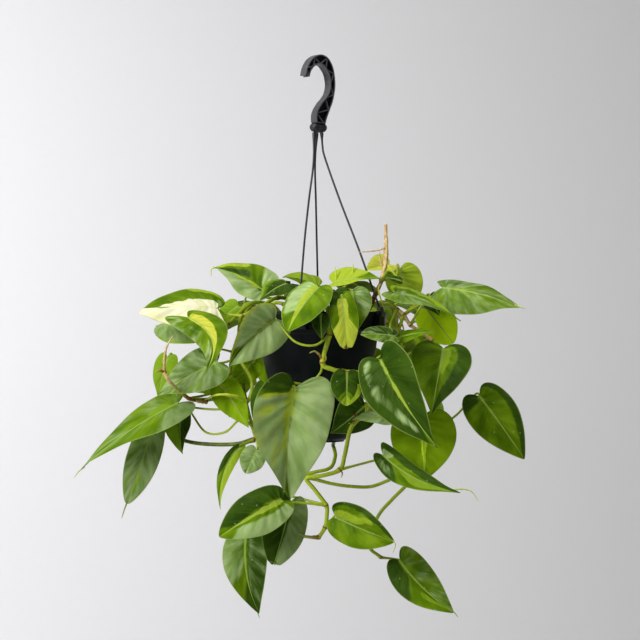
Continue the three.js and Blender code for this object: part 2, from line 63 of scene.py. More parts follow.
def grid_faces(rows, columns, wrap=False):
    """Quads of a grid of points kept row by row: (i, j), (i, j+1), (i+1, j+1), (i+1, j)."""
    i, j = np.meshgrid(np.arange(rows - 1), np.arange(columns if wrap else columns - 1), indexing="ij")
    k = (j + 1) % columns
    quads = [i * columns + j, i * columns + k, (i + 1) * columns + k, (i + 1) * columns + j]
    return np.stack(quads, -1).reshape(-1, 4).tolist()


def new_material(name, **sockets):
    """A material with one Principled shader, its constants set on the shader's sockets."""
    material = bpy.data.materials.new(name)
    material.use_nodes = True
    shader = material.node_tree.nodes["Principled BSDF"]
    for socket, value in sockets.items():
        shader.inputs[socket.replace("_", " ")].default_value = value
    return material, material.node_tree, shader


def node(tree, kind, *links, out=0, inputs=None, **settings):
    """Adds a shader node. Its inputs, by order and then by name, are values or outputs."""
    made = tree.nodes.new("ShaderNode" + kind)
    for key, value in settings.items():
        setattr(made, key, value)
    for key, value in [*enumerate(links), *(inputs or {}).items()]:
        if isinstance(value, bpy.types.NodeSocket):
            tree.links.new(value, made.inputs[key])
        elif value is not None:
            made.inputs[key].default_value = value
    return made.outputs[out]


def position(tree):
    """The place on the object, in metres."""
    return node(tree, "TexCoord", out=3)


def noise(tree, where, scale, detail=2.0):
    return node(tree, "TexNoise", where, inputs={"Scale": scale, "Detail": detail})


def remap(tree, value, low, high, start, end, curve="LINEAR"):
    """Takes low..high to start..end, and stays there outside."""
    return node(tree, "MapRange", value, low, high, start, end, interpolation_type=curve)


def ramp(tree, factor, *stops):
    """A colour ramp of (place, (r, g, b)) stops."""
    made = tree.nodes.new("ShaderNodeValToRGB")
    while len(made.color_ramp.elements) < len(stops):
        made.color_ramp.elements.new(0.5)
    for element, (place, colour) in zip(made.color_ramp.elements, stops):
        element.position = place
        element.color = (*colour, 1)
    tree.links.new(factor, made.inputs[0])
    return made.outputs[0]


def blend(tree, factor, under, over):
    """Mixes two colours by a factor."""
    pair = [c if isinstance(c, bpy.types.NodeSocket) else (*c, 1) for c in (under, over)]
    return node(tree, "Mix", factor, out=2, data_type="RGBA", inputs={6: pair[0], 7: pair[1]})


def dress(tree, shader, **sockets):
    """Links what changes over the surface to the shader."""
    for socket, value in sockets.items():
        tree.links.new(value, shader.inputs[socket.replace("_", " ")])


paper, tree, shader = new_material("studio_paper", Roughness=0.9, Specular_IOR_Level=0.15)
place = position(tree)
tone = ramp(tree, noise(tree, place, 40.0), (0.3, (0.826, 0.820, 0.832)), (0.7, (0.834, 0.828, 0.840)))
# The paper is painted darker towards the right: painted shade for the plant's soft shadow on it.
painted_shade_right = remap(tree, node(tree, "SeparateXYZ", place), -1.0, 1.2, 0.0, 1.0)
dress(tree, shader, Base_Color=blend(tree, painted_shade_right, tone, (0.800, 0.795, 0.795)))
bend = np.linspace(0, math.pi / 2, 24)
sweep = [WALL - SWEEP + SWEEP * np.sin(bend), FLOOR + SWEEP - SWEEP * np.cos(bend)]
section = np.concatenate([[[PAPER_FRONT, FLOOR]], np.stack(sweep, 1), [[WALL, PAPER_TOP]]])
sheet = np.column_stack([np.tile([-PAPER_SIDE, PAPER_SIDE], len(section)), np.repeat(section, 2, 0)])
backdrop = make_mesh("backdrop", sheet, grid_faces(len(section), 2), paper)

# Camera. Level, and 2.6 m in front of the pot's axis, where the view is 768 mm wide.
camera = bpy.data.objects.new("camera", bpy.data.cameras.new("camera"))
camera.data.sensor_width = FILM
camera.data.lens = FILM * -EYE[1] / VIEW_WIDTH
camera.location = np.array(EYE) * MM
camera.rotation_euler = (math.pi / 2, 0, 0)
bpy.context.scene.collection.objects.link(camera)
bpy.context.scene.camera = camera
bpy.context.scene.view_settings.view_transform = "Standard"

world = bpy.data.worlds.new("studio")
world.use_nodes = True
world.node_tree.nodes["Background"].inputs["Color"].default_value = (0.93, 0.95, 1.0, 1)
world.node_tree.nodes["Background"].inputs["Strength"].default_value = 0.12
bpy.context.scene.world = world
for name, where, aim, size, power in [
    ("softbox_left", (-2200, -1950, 750), PLANT, 1500, 80),
    ("softbox_right", (2000, -2600, 100), PLANT, 1000, 2),
    ("softbox_top", (0, -500, 1700), PLANT, 1200, 24),
    ("paper_light", (-2300, 1600, 400), (-600, 4200, -400), 1800, 71),
]:
    lamp = bpy.data.lights.new(name, "AREA")
    lamp.size, lamp.energy = size * MM, power
    holder = bpy.data.objects.new(name, lamp)
    holder.location = np.array(where) * MM
    toward = np.subtract(aim, where)
    holder.rotation_euler = (math.acos(-toward[2] / np.linalg.norm(toward)), 0,
                             math.atan2(toward[1], toward[0]) - math.pi / 2)
    bpy.context.scene.collection.objects.link(holder)


# Pot. A thin-walled bowl, injection moulded in very dark green-black plastic with a soft
# sheen, with a stepped rim, drain holes and three lugs that the strands clip on to.
RIM_RADIUS, RIM_TOP, POT_WALL = 82, -296, 2
POT_SIDES, DRAINS, DRAIN_CIRCLE = 96, 6, 20
LUG_BACK, LUG_FRONT = RIM_RADIUS - 1.5, RIM_RADIUS + 4.2
STRAND_ENDS = [(-22, -81), (-1, 84), (73, -42)]


def rounded(profile, radius, steps=5):
    """Rounds each corner of a profile: a quadratic curve from radius before the corner,
    pulled towards it, to radius after it. The two ends stay."""
    p = np.asarray(profile, float)
    start, end = [
        p[1:-1] + v * np.minimum(radius / np.linalg.norm(v, axis=1, keepdims=True), 0.45)
        for v in (p[:-2] - p[1:-1], p[2:] - p[1:-1])]
    t = np.linspace(0, 1, steps)[None, :, None]
    arcs = (1 - t) ** 2 * start[:, None] + 2 * t * (1 - t) * p[1:-1, None] + t * t * end[:, None]
    return np.concatenate([p[:1], arcs.reshape(-1, 2), p[-1:]])


def capped_faces(rows, sides):
    """Quads of a grid that is closed round, and a fan at each end. The fans' points come
    after the grid, the first end's first."""
    j = np.arange(sides)
    k = (j + 1) % sides
    first, last = rows * sides, (rows - 1) * sides
    low = np.stack([k, j, np.full(sides, first)], 1).tolist()
    high = np.stack([last + j, last + k, np.full(sides, first + 1)], 1).tolist()
    return grid_faces(rows, sides, wrap=True) + low + high


def turned(profile, sides):
    """Surface of revolution about Z: (radius cos a, radius sin a, height), wrapped in a.
    Its two ends are points on the axis."""
    angle = np.linspace(0, 2 * math.pi, sides, endpoint=False)
    radius, height = np.asarray(profile, float)[1:-1].T[..., None]
    rings = np.stack([radius * np.cos(angle), radius * np.sin(angle), height + 0 * angle], -1)
    ends = [[0, 0, profile[0][1]], [0, 0, profile[-1][1]]]
    return np.concatenate([rings.reshape(-1, 3), ends]), capped_faces(len(rings), sides)


def join(parts):
    """Several (points, faces) shapes as one."""
    points, faces, count = [], [], 0
    for p, f in parts:
        points.append(p)
        faces += [[v + count for v in face] for face in f]
        count += len(p)
    return np.concatenate(points), faces


def about_z(points, turn):
    """Points turned about the vertical axis."""
    c, s = math.cos(turn), math.sin(turn)
    return points @ np.array([[c, s, 0], [-s, c, 0], [0, 0, 1]])


def plate(outline, depth, turn, shift):
    """A flat plate: a closed outline (across, height), at depth 0 and at the full depth
    along X, moved and then turned about Z."""
    n = len(outline)
    points = np.concatenate([np.column_stack([np.full(n, d), outline]) for d in (0, depth)])
    sides = [[i, (i + 1) % n, n + (i + 1) % n, n + i] for i in range(n)]
    return about_z(points + shift, turn), [*sides, list(range(n))[::-1], list(range(n, 2 * n))]


def bevelled(thing, width, segments=2):
    """Rounds the sharp edges, with a width in millimetres."""
    edge = thing.modifiers.new("rounded_edges", "BEVEL")
    edge.width, edge.segments, edge.limit_method = width * MM, segments, "ANGLE"
    return thing


def wear_group():
    """Shared wear: pale scuffs and dust where a fine noise passes a broad one, and a mottle
    for the roughness. Both stay between 0 and 1."""
    group = bpy.data.node_groups.new("scuffs_and_dust", "ShaderNodeTree")
    group.interface.new_socket("Vector", in_out="INPUT", socket_type="NodeSocketVector")
    group.interface.new_socket("Size", in_out="INPUT", socket_type="NodeSocketFloat")
    for name in ("Scuff", "Dust", "Grain"):
        group.interface.new_socket(name, in_out="OUTPUT", socket_type="NodeSocketFloat")
    start, end = group.nodes.new("NodeGroupInput"), group.nodes.new("NodeGroupOutput")
    where = node(group, "VectorMath", start.outputs[0], operation="SCALE", inputs={"Scale": start.outputs[1]})
    scratch = node(group, "Mapping", where, inputs={"Scale": (0.5, 0.5, 4.0), "Rotation": (0.3, 0.5, 0)})
    broad = noise(group, where, 1.6)
    both = node(group, "Math", noise(group, scratch, 9.0, 5.0), broad, operation="MULTIPLY")
    group.links.new(remap(group, both, 0.32, 0.5, 0.0, 1.0), end.inputs["Scuff"])
    group.links.new(remap(group, broad, 0.4, 0.75, 0.0, 1.0), end.inputs["Dust"])
    group.links.new(noise(group, where, 60.0), end.inputs["Grain"])
    return group


scuffs = wear_group()


def bump(tree, height, strength, distance, normal=None):
    """Relief of a depth, distance, in metres, laid over another normal if one is given."""
    sockets = {"Strength": strength, "Distance": distance, "Height": height, "Normal": normal}
    return node(tree, "Bump", inputs=sockets)


def worn_plastic(name, deep, dusty, scuffed, rough, size, gloss):
    """Moulded plastic: a base colour, dust in broad soft patches, pale scuffs, fine grain."""
    material, tree, shader = new_material(name, Specular_IOR_Level=gloss)
    wear = tree.nodes.new("ShaderNodeGroup")
    wear.node_tree = scuffs
    tree.links.new(position(tree), wear.inputs["Vector"])
    wear.inputs["Size"].default_value = size
    scuff, dust, grain = wear.outputs
    dress(tree, shader, Base_Color=blend(tree, scuff, blend(tree, dust, deep, dusty), scuffed),
          Roughness=remap(tree, dust, 0.0, 1.0, rough, rough + 0.16), Normal=bump(tree, grain, 0.12, 0.0003))
    return material


pot_plastic = worn_plastic("pot_plastic", (0.0022, 0.0042, 0.0052), (0.005, 0.008, 0.0085),
                           (0.014, 0.017, 0.015), rough=0.36, size=9.0, gloss=0.2)
outside = [(0, -451), (30, -451), (36, -447), (46, -422), (54, -398), (63, -368), (69, -342), (72, -321),
           (80, -317), (RIM_RADIUS, RIM_TOP - 1.5), (RIM_RADIUS - 1, RIM_TOP)]
inside = [(RIM_RADIUS - POT_WALL, RIM_TOP), (RIM_RADIUS - POT_WALL - 1.5, -315), (70, -319.5), (67, -342),
          (61, -368), (52, -398), (44, -422), (34.5, -445), (30, -449), (0, -449)]
bead = [(0, -318.4), (80.5, -318.4), (81.4, -317.2), (80.5, -316), (0, -316)]
foot = [(0, -450), (28, -450), (28, -451.4), (31, -451.4), (31, -450.2), (0, -450.2)]
drain = [(0, -450.9), (3, -450.9), (3.3, -451.3), (3.9, -451.3), (4.2, -450.8), (0, -450.8)]
bowl = [turned(rounded(outside + inside, 2.2), POT_SIDES), turned(rounded(bead, 0.5), POT_SIDES),
        turned(rounded(foot, 0.4), POT_SIDES)]
for angle in np.arange(DRAINS) * 2 * math.pi / DRAINS:
    points, faces = turned(rounded(drain, 0.2), 20)
    bowl.append((points + [DRAIN_CIRCLE * math.cos(angle), DRAIN_CIRCLE * math.sin(angle), 0], faces))
pot = make_mesh("pot_bowl", *join(bowl), pot_plastic)
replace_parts(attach(pot, "root"), "pot")

lugs = []
for x, y in STRAND_ENDS:
    turn = math.atan2(y, x)
    lugs += [plate([(-9, -21), (9, -21), (5, 0.8), (-5, 0.8)], 5.8, turn, (LUG_BACK, 0, RIM_TOP)),
             plate([(-6.5, -17), (6.5, -17), (5.2, -9), (-5.2, -9)], 0.8, turn, (LUG_FRONT, 0, RIM_TOP)),
             plate([(-5, -7), (5, -7), (3.8, -1), (-3.8, -1)], 0.8, turn, (LUG_FRONT, 0, RIM_TOP))]
clips = bevelled(make_mesh("pot_lugs", *join(lugs), pot_plastic, soft=False), 0.5)
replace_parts(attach(clips, "root"), "pot")


# Potting mix. Dark, moist peat with bark and a few grains of white perlite, heaped a
# little unevenly inside the rim. It holds the roots, and every stem stands in it.
SOIL_TOP, SOIL_FOOT, SOIL_RADIUS = -309, -316, 78
SOIL_RINGS, SOIL_SIDES = 46, 160


def heap(r, a):
    """The mix's height at radius r and angle a: two slow waves."""
    return 1.5 * np.sin(r * 0.11 + 2 * np.sin(a)) + 1.2 * np.cos(3 * a + r * 0.07)


chance = np.random.default_rng(11)
soil, tree, shader = new_material("potting_mix", Roughness=0.95, Specular_IOR_Level=0.2)
place = position(tree)
crumbs = node(tree, "TexVoronoi", place, inputs={"Scale": 420.0})
peat = ramp(tree, noise(tree, place, 160.0, 6.0), (0.3, (0.010, 0.006, 0.003)),
            (0.5, (0.035, 0.021, 0.011)), (0.72, (0.095, 0.06, 0.034)))
dress(tree, shader, Base_Color=peat, Normal=bump(tree, crumbs, 0.8, 0.0012))
angle = np.linspace(0, 2 * math.pi, SOIL_SIDES, endpoint=False)
radius = np.linspace(0.6, SOIL_RADIUS - 0.2, SOIL_RINGS)[:, None]
height = heap(radius, angle) + chance.normal(0, 0.45, (SOIL_RINGS, SOIL_SIDES))
height = height * np.clip((SOIL_RADIUS - radius) / 12, 0.15, 1) + SOIL_TOP + 0.6
mound = np.stack([radius * np.cos(angle), radius * np.sin(angle), height], -1).reshape(-1, 3)
skirt_radius = SOIL_RADIUS - 1
skirt = np.column_stack([skirt_radius * np.cos(angle), skirt_radius * np.sin(angle),
                         np.full(SOIL_SIDES, SOIL_FOOT)])
middle = list(range(SOIL_SIDES))[::-1]
underside = list(range(SOIL_RINGS * SOIL_SIDES, (SOIL_RINGS + 1) * SOIL_SIDES))
fill = make_mesh("potting_mix_fill", np.concatenate([mound, skirt]),
                 [*grid_faces(SOIL_RINGS + 1, SOIL_SIDES, wrap=True), middle, underside], soil)
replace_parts(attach(fill, "root"), "potting_mix")
cube = np.array([[x, y, z] for x in (-1, 1) for y in (-1, 1) for z in (-1, 1)], float)
cube_faces = [[0, 1, 3, 2], [4, 6, 7, 5], [0, 4, 5, 1], [2, 3, 7, 6], [0, 2, 6, 4], [1, 5, 7, 3]]


def scatter(count, sizes, flat, lift, seed):
    """Loose chips: a box with jittered corners, turned at random, on the mix's surface."""
    chance = np.random.default_rng(seed)
    chips = []
    for _ in range(count):
        r, a = (SOIL_RADIUS - 2) * math.sqrt(chance.uniform(0.01, 1)), chance.uniform(0, 2 * math.pi)
        shape = cube * chance.uniform(*sizes) * [1, chance.uniform(0.4, 0.8), flat]
        shape = shape * chance.uniform(0.6, 1.1, (8, 3))
        tilt, spin = chance.normal(0, 0.35), chance.uniform(0, 2 * math.pi)
        c, s = math.cos(tilt), math.sin(tilt)
        shape = about_z(shape @ np.array([[1, 0, 0], [0, c, s], [0, -s, c]]), spin)
        height = SOIL_TOP + 1 + lift + heap(r, a)
        chips.append((shape + [r * math.cos(a), r * math.sin(a), height], cube_faces))
    return join(chips)


bark, tree, shader = new_material("bark_chips", Roughness=0.9)
grain = node(tree, "Mapping", position(tree), inputs={"Scale": (1, 6, 1)})
fibres = noise(tree, grain, 150.0, 4.0)
dress(tree, shader, Base_Color=ramp(tree, fibres, (0.35, (0.03, 0.015, 0.008)), (0.65, (0.16, 0.085, 0.045))))
chips = scatter(count=420, sizes=(1.2, 4.2), flat=0.35, lift=0.2, seed=5)
bark_pieces = bevelled(make_mesh("bark_pieces", *chips, bark, soft=False), 0.3, segments=1)
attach(bark_pieces, "root")
perlite, tree, shader = new_material("perlite", Roughness=0.8)
pores = noise(tree, position(tree), 900.0)
dress(tree, shader, Base_Color=ramp(tree, pores, (0.3, (0.45, 0.43, 0.4)), (0.7, (0.8, 0.79, 0.76))))
chips = scatter(count=70, sizes=(0.8, 1.6), flat=0.8, lift=0.5, seed=8)
grains = bevelled(make_mesh("perlite_grains", *chips, perlite, soft=False), 0.4, segments=1)
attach(grains, "root")


# Hook. One moulding in charcoal plastic: a curved band of I section, whose pockets are
# crossed by thin slanting ribs, above a rounded collar that the strands grow out of.
HOOK_TURN, HOOK_DEPTH, FLANGE, WEB, RIBS, RIB_THICK = math.radians(35), 12, 1.8, 3, 13, 1.2
COLLAR, COLLAR_SIDES = -75, 40
hook_plastic = worn_plastic("charcoal_plastic", (0.020, 0.020, 0.022), (0.045, 0.045, 0.048),
                            (0.13, 0.13, 0.135), rough=0.36, size=14.0, gloss=0.5)
# The band takes two copies of the plastic: a lighter one on its outer faces and ribs, a painted highlight for
# their lit sides, and a darker one in the pockets, painted shade in the recesses. Both keep the dust and
# scuffs.
lit_face_plastic = worn_plastic("painted_lit_charcoal_plastic", (0.085, 0.085, 0.088), (0.125, 0.125, 0.13),
                            (0.22, 0.22, 0.225), rough=0.42, size=14.0, gloss=0.4)
shaded_pocket_plastic = worn_plastic("painted_shade_charcoal_plastic", (0.006, 0.006, 0.008), (0.012, 0.012, 0.014),
                              (0.05, 0.05, 0.052), rough=0.5, size=14.0, gloss=0.2)


def unit(vectors):
    return vectors / np.linalg.norm(vectors, axis=-1, keepdims=True)


def smooth_path(points, steps):
    """Catmull-Rom curve through the points, with the same number of steps on each stretch."""
    p = np.asarray(points, float)
    p = np.concatenate([[2 * p[0] - p[1]], p, [2 * p[-1] - p[-2]]])
    t = np.linspace(0, 1, steps, endpoint=False)[None, :, None]
    a, b, c, d = (p[i:len(p) - 3 + i, None] for i in range(4))
    second, third = 2 * a - 5 * b + 4 * c - d, 3 * b - a - 3 * c + d
    curve = 0.5 * (2 * b + (c - a) * t + second * t ** 2 + third * t ** 3)
    return np.concatenate([curve.reshape(-1, p.shape[1]), p[-2:-1]])


# The band's middle line, from its tip to the collar: across, height and the band's width
spine = [(-19.7, -14.8, 6.4), (-17.3, -6.6, 7.4), (-12.4, 0.5, 9), (-7, 4.4, 10.6), (0, 6.1, 12.2),
         (6.6, 4, 12.2), (12, -2.4, 10.8), (15.7, -10.8, 8.6), (17.3, -23.4, 7.6), (15.4, -34.2, 8.4),
         (11.7, -42.6, 11.4), (6.6, -50.4, 14.6), (1.4, -60.6, 16.2), (0, -70.2, 13.4)]
line = smooth_path(spine, 7)
rings, middle, half = len(line), line[:, :2], line[:, 2] / 2
tangent = unit(np.gradient(middle, axis=0))
normal = np.column_stack([-tangent[:, 1], tangent[:, 0]])
front, web = HOOK_DEPTH / 2, WEB / 2
side, inward, depth = np.array([
    (1, 0, -front), (1, 0, front), (1, -FLANGE, front), (1, -FLANGE, web), (-1, FLANGE, web),
    (-1, FLANGE, front), (-1, 0, front), (-1, 0, -front), (-1, FLANGE, -front), (-1, FLANGE, -web),
    (1, -FLANGE, -web), (1, -FLANGE, -front)]).T
corners = len(side)
across = half[:, None] * side + inward
band = np.stack([middle[:, :1] + normal[:, :1] * across, np.broadcast_to(depth, across.shape),
                 middle[:, 1:] + normal[:, 1:] * across], -1).reshape(-1, 3)
band_faces = [f[::-1] for f in grid_faces(rings, corners, wrap=True)]
band_ends = [list(range(corners)), list(range((rings - 1) * corners, rings * corners))[::-1]]
parts = [(band, band_faces + band_ends)]
slab_faces = [[0, 1, 2, 3], [7, 6, 5, 4], [1, 0, 4, 5], [2, 1, 5, 6], [3, 2, 6, 7], [0, 3, 7, 4]]
for i in range(RIBS):
    low, high = int(i / RIBS * (rings - 1)), int((i + 1) / RIBS * (rings - 1))
    sign = 1 if i % 2 else -1
    start = middle[low] + normal[low] * sign * (half[low] - 0.9)
    end = middle[high] - normal[high] * sign * (half[high] - 0.9)
    run = unit(end - start)
    off = np.array([-run[1], run[0]]) * RIB_THICK / 2
    outline = [start - off, end - off, end + off, start + off]
    slab = np.array([[x, y, z] for y in (0.5 - front, front - 0.5) for x, z in outline])
    parts.append((slab, slab_faces))
points, faces = join(parts)
hook = make_mesh("hook_band", about_z(points, HOOK_TURN), faces, lit_face_plastic, soft=False)
# The pockets' faces take the darker copy, with its painted shade.
hook.data.materials.append(shaded_pocket_plastic)
face = np.arange(len(hook.data.polygons))
in_pocket = (face < len(band_faces)) & np.isin(face % corners, (2, 3, 4, 8, 9, 10))
hook.data.polygons.foreach_set("material_index", in_pocket.astype(np.int32))
bevelled(hook, 0.45)
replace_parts(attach(hook, "root"), "hanger_hook")


def laid(shape):
    """A turned shape laid along X, at the collar's height."""
    return shape[0][:, [2, 1, 0]] * [1, 1, -1] + [0, 0, COLLAR], shape[1]


bend = np.linspace(0, math.pi, 24)
capsule = np.column_stack([5 * np.sin(bend) ** 0.8, -5 * np.cos(bend)])
capsule[:, 1] += np.where(capsule[:, 1] > 0, 6.4, -6.4)
capsule[0, 0] = capsule[-1, 0] = 0
bands = [[(0, x - 0.7), (5.25, x - 0.7), (5.25, x + 0.7), (0, x + 0.7)] for x in (-7.6, 0, 7.6)]
foot = [(0, -81), (5.6, -81), (6.5, -78), (6.5, -76), (0, -76)]
seam = [(0, -70.6), (6.6, -70.6), (7.4, -69.6), (6.6, -68.6), (0, -68.6)]
seam, seam_faces = turned(rounded(seam, 0.4), COLLAR_SIDES)
ball, ball_faces = turned(np.column_stack([4 * np.sin(bend), -4 * np.cos(bend)]), 24)
points, faces = join([
    laid(turned(capsule, COLLAR_SIDES)), turned(rounded(foot, 0.6), COLLAR_SIDES),
    (seam * [1.25, 0.8, 1], seam_faces),
    *(laid(turned(rounded(band, 0.3), COLLAR_SIDES)) for band in bands),
    (ball + [-8, -4, COLLAR], ball_faces)])
collar = make_mesh("hook_collar", about_z(points, HOOK_TURN), faces, hook_plastic)
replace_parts(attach(collar, "root"), "hanger_hook")


# Strands. Three slender rods of the same plastic, 2.4 mm thick, that spread from the collar
# and end in a small foot on a lug of the rim. They are stiff enough to keep their bend.
STRAND_RADIUS, STRAND_SIDES, STRAND_STEPS = 1.2, 16, 10


def tube(points, radius, sides, steps, peak=0.0):
    """A round section carried along a smooth curve, with one radius per ring. The ring's
    plane is square to the tangent, and its start is square to the fixed direction that the
    tangents avoid most. Each end is closed by a point, and the last stands out by a share,
    peak, of its radius."""
    curve = smooth_path(points, steps)
    tangent = unit(np.gradient(curve, axis=0))
    step = (-1, 0, 1)
    tries = unit(np.array([(x, y, z) for x in step for y in step for z in step if x or y or z]))
    guide = tries[np.abs(tries @ tangent.T).max(1).argmin()]
    side = unit(np.cross(tangent, guide))
    top = np.cross(side, tangent)
    angle = np.linspace(0, 2 * math.pi, sides, endpoint=False)[:, None]
    ring = radius[:, None, None] * (side[:, None] * np.cos(angle) + top[:, None] * np.sin(angle))
    rings = (curve[:, None] + ring).reshape(-1, 3)
    ends = [curve[0], curve[-1] + tangent[-1] * radius[-1] * peak]
    return np.concatenate([rings, ends]), capped_faces(len(curve), sides)


for name, route in {
    "strand_left": [(-5, -3, -81.3), (-6, -8, -120), (-11, -26, -162), (-16, -46, -210), (-20, -66, -262),
                    (-22, -81, -294)],
    "strand_back": [(-2, 4, -81.3), (-4, 12, -120), (-3, 30, -162), (-2, 50, -210), (-1, 68, -254),
                    (-1, 84, -294)],
    "strand_right": [(4, -1, -81.3), (5, -2, -97), (8, -4, -112), (26, -15, -164), (48, -28, -222),
                     (64, -37, -268), (73, -42, -294)],
}.items():
    place = np.linspace(0, 1, (len(route) - 1) * STRAND_STEPS + 1)
    swell = 1.1 * np.exp(-(place / 0.06) ** 2) + 0.5 * np.exp(-((1 - place) / 0.03) ** 2)
    rod = tube(route, STRAND_RADIUS + swell, STRAND_SIDES, STRAND_STEPS)
    x, y, _ = route[-1]
    out, turn = math.hypot(x, y), math.atan2(y, x)
    heel = plate([(-4, -1), (4, -1), (2.4, 3.6), (-2.4, 3.6)], 5, turn, (out - 2.5, 0, RIM_TOP + 2.3))
    tongue = plate([(-3, -7.5), (3, -7.5), (3.4, 2.4), (-3.4, 2.4)], 1.0, turn,
                   (LUG_FRONT + 0.2, 0, RIM_TOP + 0.8))
    strand = bevelled(make_mesh(name + "_rod", *join([rod, heel, tongue]), hook_plastic), 0.3)
    strand.modifiers["rounded_edges"].angle_limit = math.radians(50)
    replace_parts(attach(strand, "root"), name)


# Leaf surface. Waxy heart-shaped blades in deep green, brushed with lime along the middle.
# The colour runs out along the side veins, so patterns follow the blade's own vein map:
# U goes along the edge from the sinus to the tip and V from one edge to the other.
VEINS = 62.0


def field(tree, name):
    """A number kept for each point of the mesh."""
    return node(tree, "Attribute", out=2, attribute_name=name, attribute_type="GEOMETRY")


def maths(tree, operation, *values):
    return node(tree, "Math", *values, operation=operation)


leaf_skin, tree, shader = new_material("waxy_leaf", Specular_Tint=(0.75, 1.0, 0.4, 1))
along = node(tree, "SeparateXYZ", node(tree, "UVMap", uv_map="veins"))
cross = along.node.outputs[1]
out_from_rib = maths(tree, "ABSOLUTE", maths(tree, "MULTIPLY_ADD", cross, 2.0, -1.0))
seed = field(tree, "seed")


def streaks(fineness, reach, salt, detail):
    """Noise drawn out along the side veins: fine along the edge, slow from rib to edge."""
    spot = node(tree, "CombineXYZ", maths(tree, "MULTIPLY_ADD", along, fineness, seed),
                maths(tree, "MULTIPLY", cross, reach), maths(tree, "ADD", seed, salt))
    return noise(tree, spot, 1.0, detail)


broad = streaks(13.0, 2.6, 1.7, 3.0)
fine = streaks(55.0, 3.5, 5.1, 2.0)
patch = streaks(6.0, 2.2, 9.4, 3.0)
rough_edge = maths(tree, "ADD", maths(tree, "MULTIPLY_ADD", broad, 0.85, -0.425),
                   maths(tree, "MULTIPLY_ADD", fine, 0.22, -0.11))


def brushed(name, low, high):
    """A painted field whose border is torn into streaks; where nothing is painted it is 0."""
    painted = field(tree, name)
    torn = maths(tree, "MULTIPLY", rough_edge, remap(tree, painted, 0.0, 0.1, 0.0, 1.0))
    return remap(tree, maths(tree, "ADD", painted, torn), low, high, 0.0, 1.0, "SMOOTHSTEP")


lime, cream, dried = brushed("lime", 0.38, 0.66), brushed("cream", 0.42, 0.6), brushed("dry", 0.4, 0.7)
pale, deep = brushed("pale", 0.3, 0.8), brushed("deep", 0.3, 0.8)
sunlit, under = field(tree, "sun"), field(tree, "under")

# Leaf greens: plain, deep, grey-green, lime and ivory, laid over each other. The sun field lightens the
# grey-green and lime: painted light for how brightly each leaf is lit.
green = ramp(tree, patch, (0.3, (0.062, 0.138, 0.002)), (0.5, (0.122, 0.230, 0.003)),
             (0.72, (0.215, 0.345, 0.010)))
deep_green = ramp(tree, patch, (0.3, (0.022, 0.056, 0.004)), (0.7, (0.056, 0.118, 0.008)))
grey = ramp(tree, broad, (0.35, (0.22, 0.345, 0.095)), (0.65, (0.38, 0.51, 0.21)))
grey_lit = ramp(tree, broad, (0.35, (0.40, 0.60, 0.17)), (0.65, (0.66, 0.84, 0.36)))
# The grey-green patches are partly the blades' own pale bloom and partly a painted sheen where light glances
# off them.
pale_and_sheen = maths(tree, "MULTIPLY", pale, remap(tree, patch, 0.25, 0.7, 0.7, 1.0))
colour = blend(tree, deep, green, deep_green)
colour = blend(tree, pale_and_sheen, colour, blend(tree, sunlit, grey, grey_lit))
lit_lime = ramp(tree, sunlit, (0.0, (0.21, 0.36, 0.010)), (0.4, (0.42, 0.55, 0.030)),
              (1.0, (0.78, 0.76, 0.085)))
lit_lime = blend(tree, remap(tree, fine, 0.35, 0.7, 0.0, 0.6), lit_lime, (0.26, 0.42, 0.030))
colour = blend(tree, lime, colour, lit_lime)
ivory = ramp(tree, broad, (0.3, (0.84, 0.80, 0.36)), (0.55, (0.96, 0.94, 0.66)))
colour = blend(tree, cream, colour, ivory)

# Veins, margin, specks and dried spots
from_rib = maths(tree, "DIVIDE", out_from_rib, field(tree, "rib"))
rib = remap(tree, from_rib, 0.7, 1.5, 1.0, 0.0, "SMOOTHSTEP")
wave = maths(tree, "SINE", maths(tree, "MULTIPLY", along, VEINS))
side_vein = maths(tree, "MULTIPLY", remap(tree, wave, 0.9, 1.0, 0.0, 0.22),
                  remap(tree, out_from_rib, 0.05, 0.9, 0.5, 0.12))
rib_shown = maths(tree, "MULTIPLY", rib, remap(tree, cream, 0.0, 1.0, 0.75, 0.1))
colour = blend(tree, side_vein, colour, (0.30, 0.43, 0.12))
colour = blend(tree, rib_shown, colour, (0.36, 0.50, 0.10))
colour = blend(tree, remap(tree, out_from_rib, 0.955, 1.0, 0.0, 0.8), colour, (0.34, 0.45, 0.10))
place = position(tree)
speck = node(tree, "TexVoronoi", place, inputs={"Scale": 120.0})
chosen = remap(tree, speck.node.outputs[1], 0.62, 0.66, 0.0, 0.4)
marks = maths(tree, "MULTIPLY", remap(tree, speck, 0.06, 0.13, 1.0, 0.0), chosen)
colour = blend(tree, marks, colour, (0.60, 0.65, 0.50))
brown = ramp(tree, fine, (0.3, (0.09, 0.028, 0.010)), (0.7, (0.30, 0.13, 0.04)))
colour = blend(tree, dried, colour, brown)

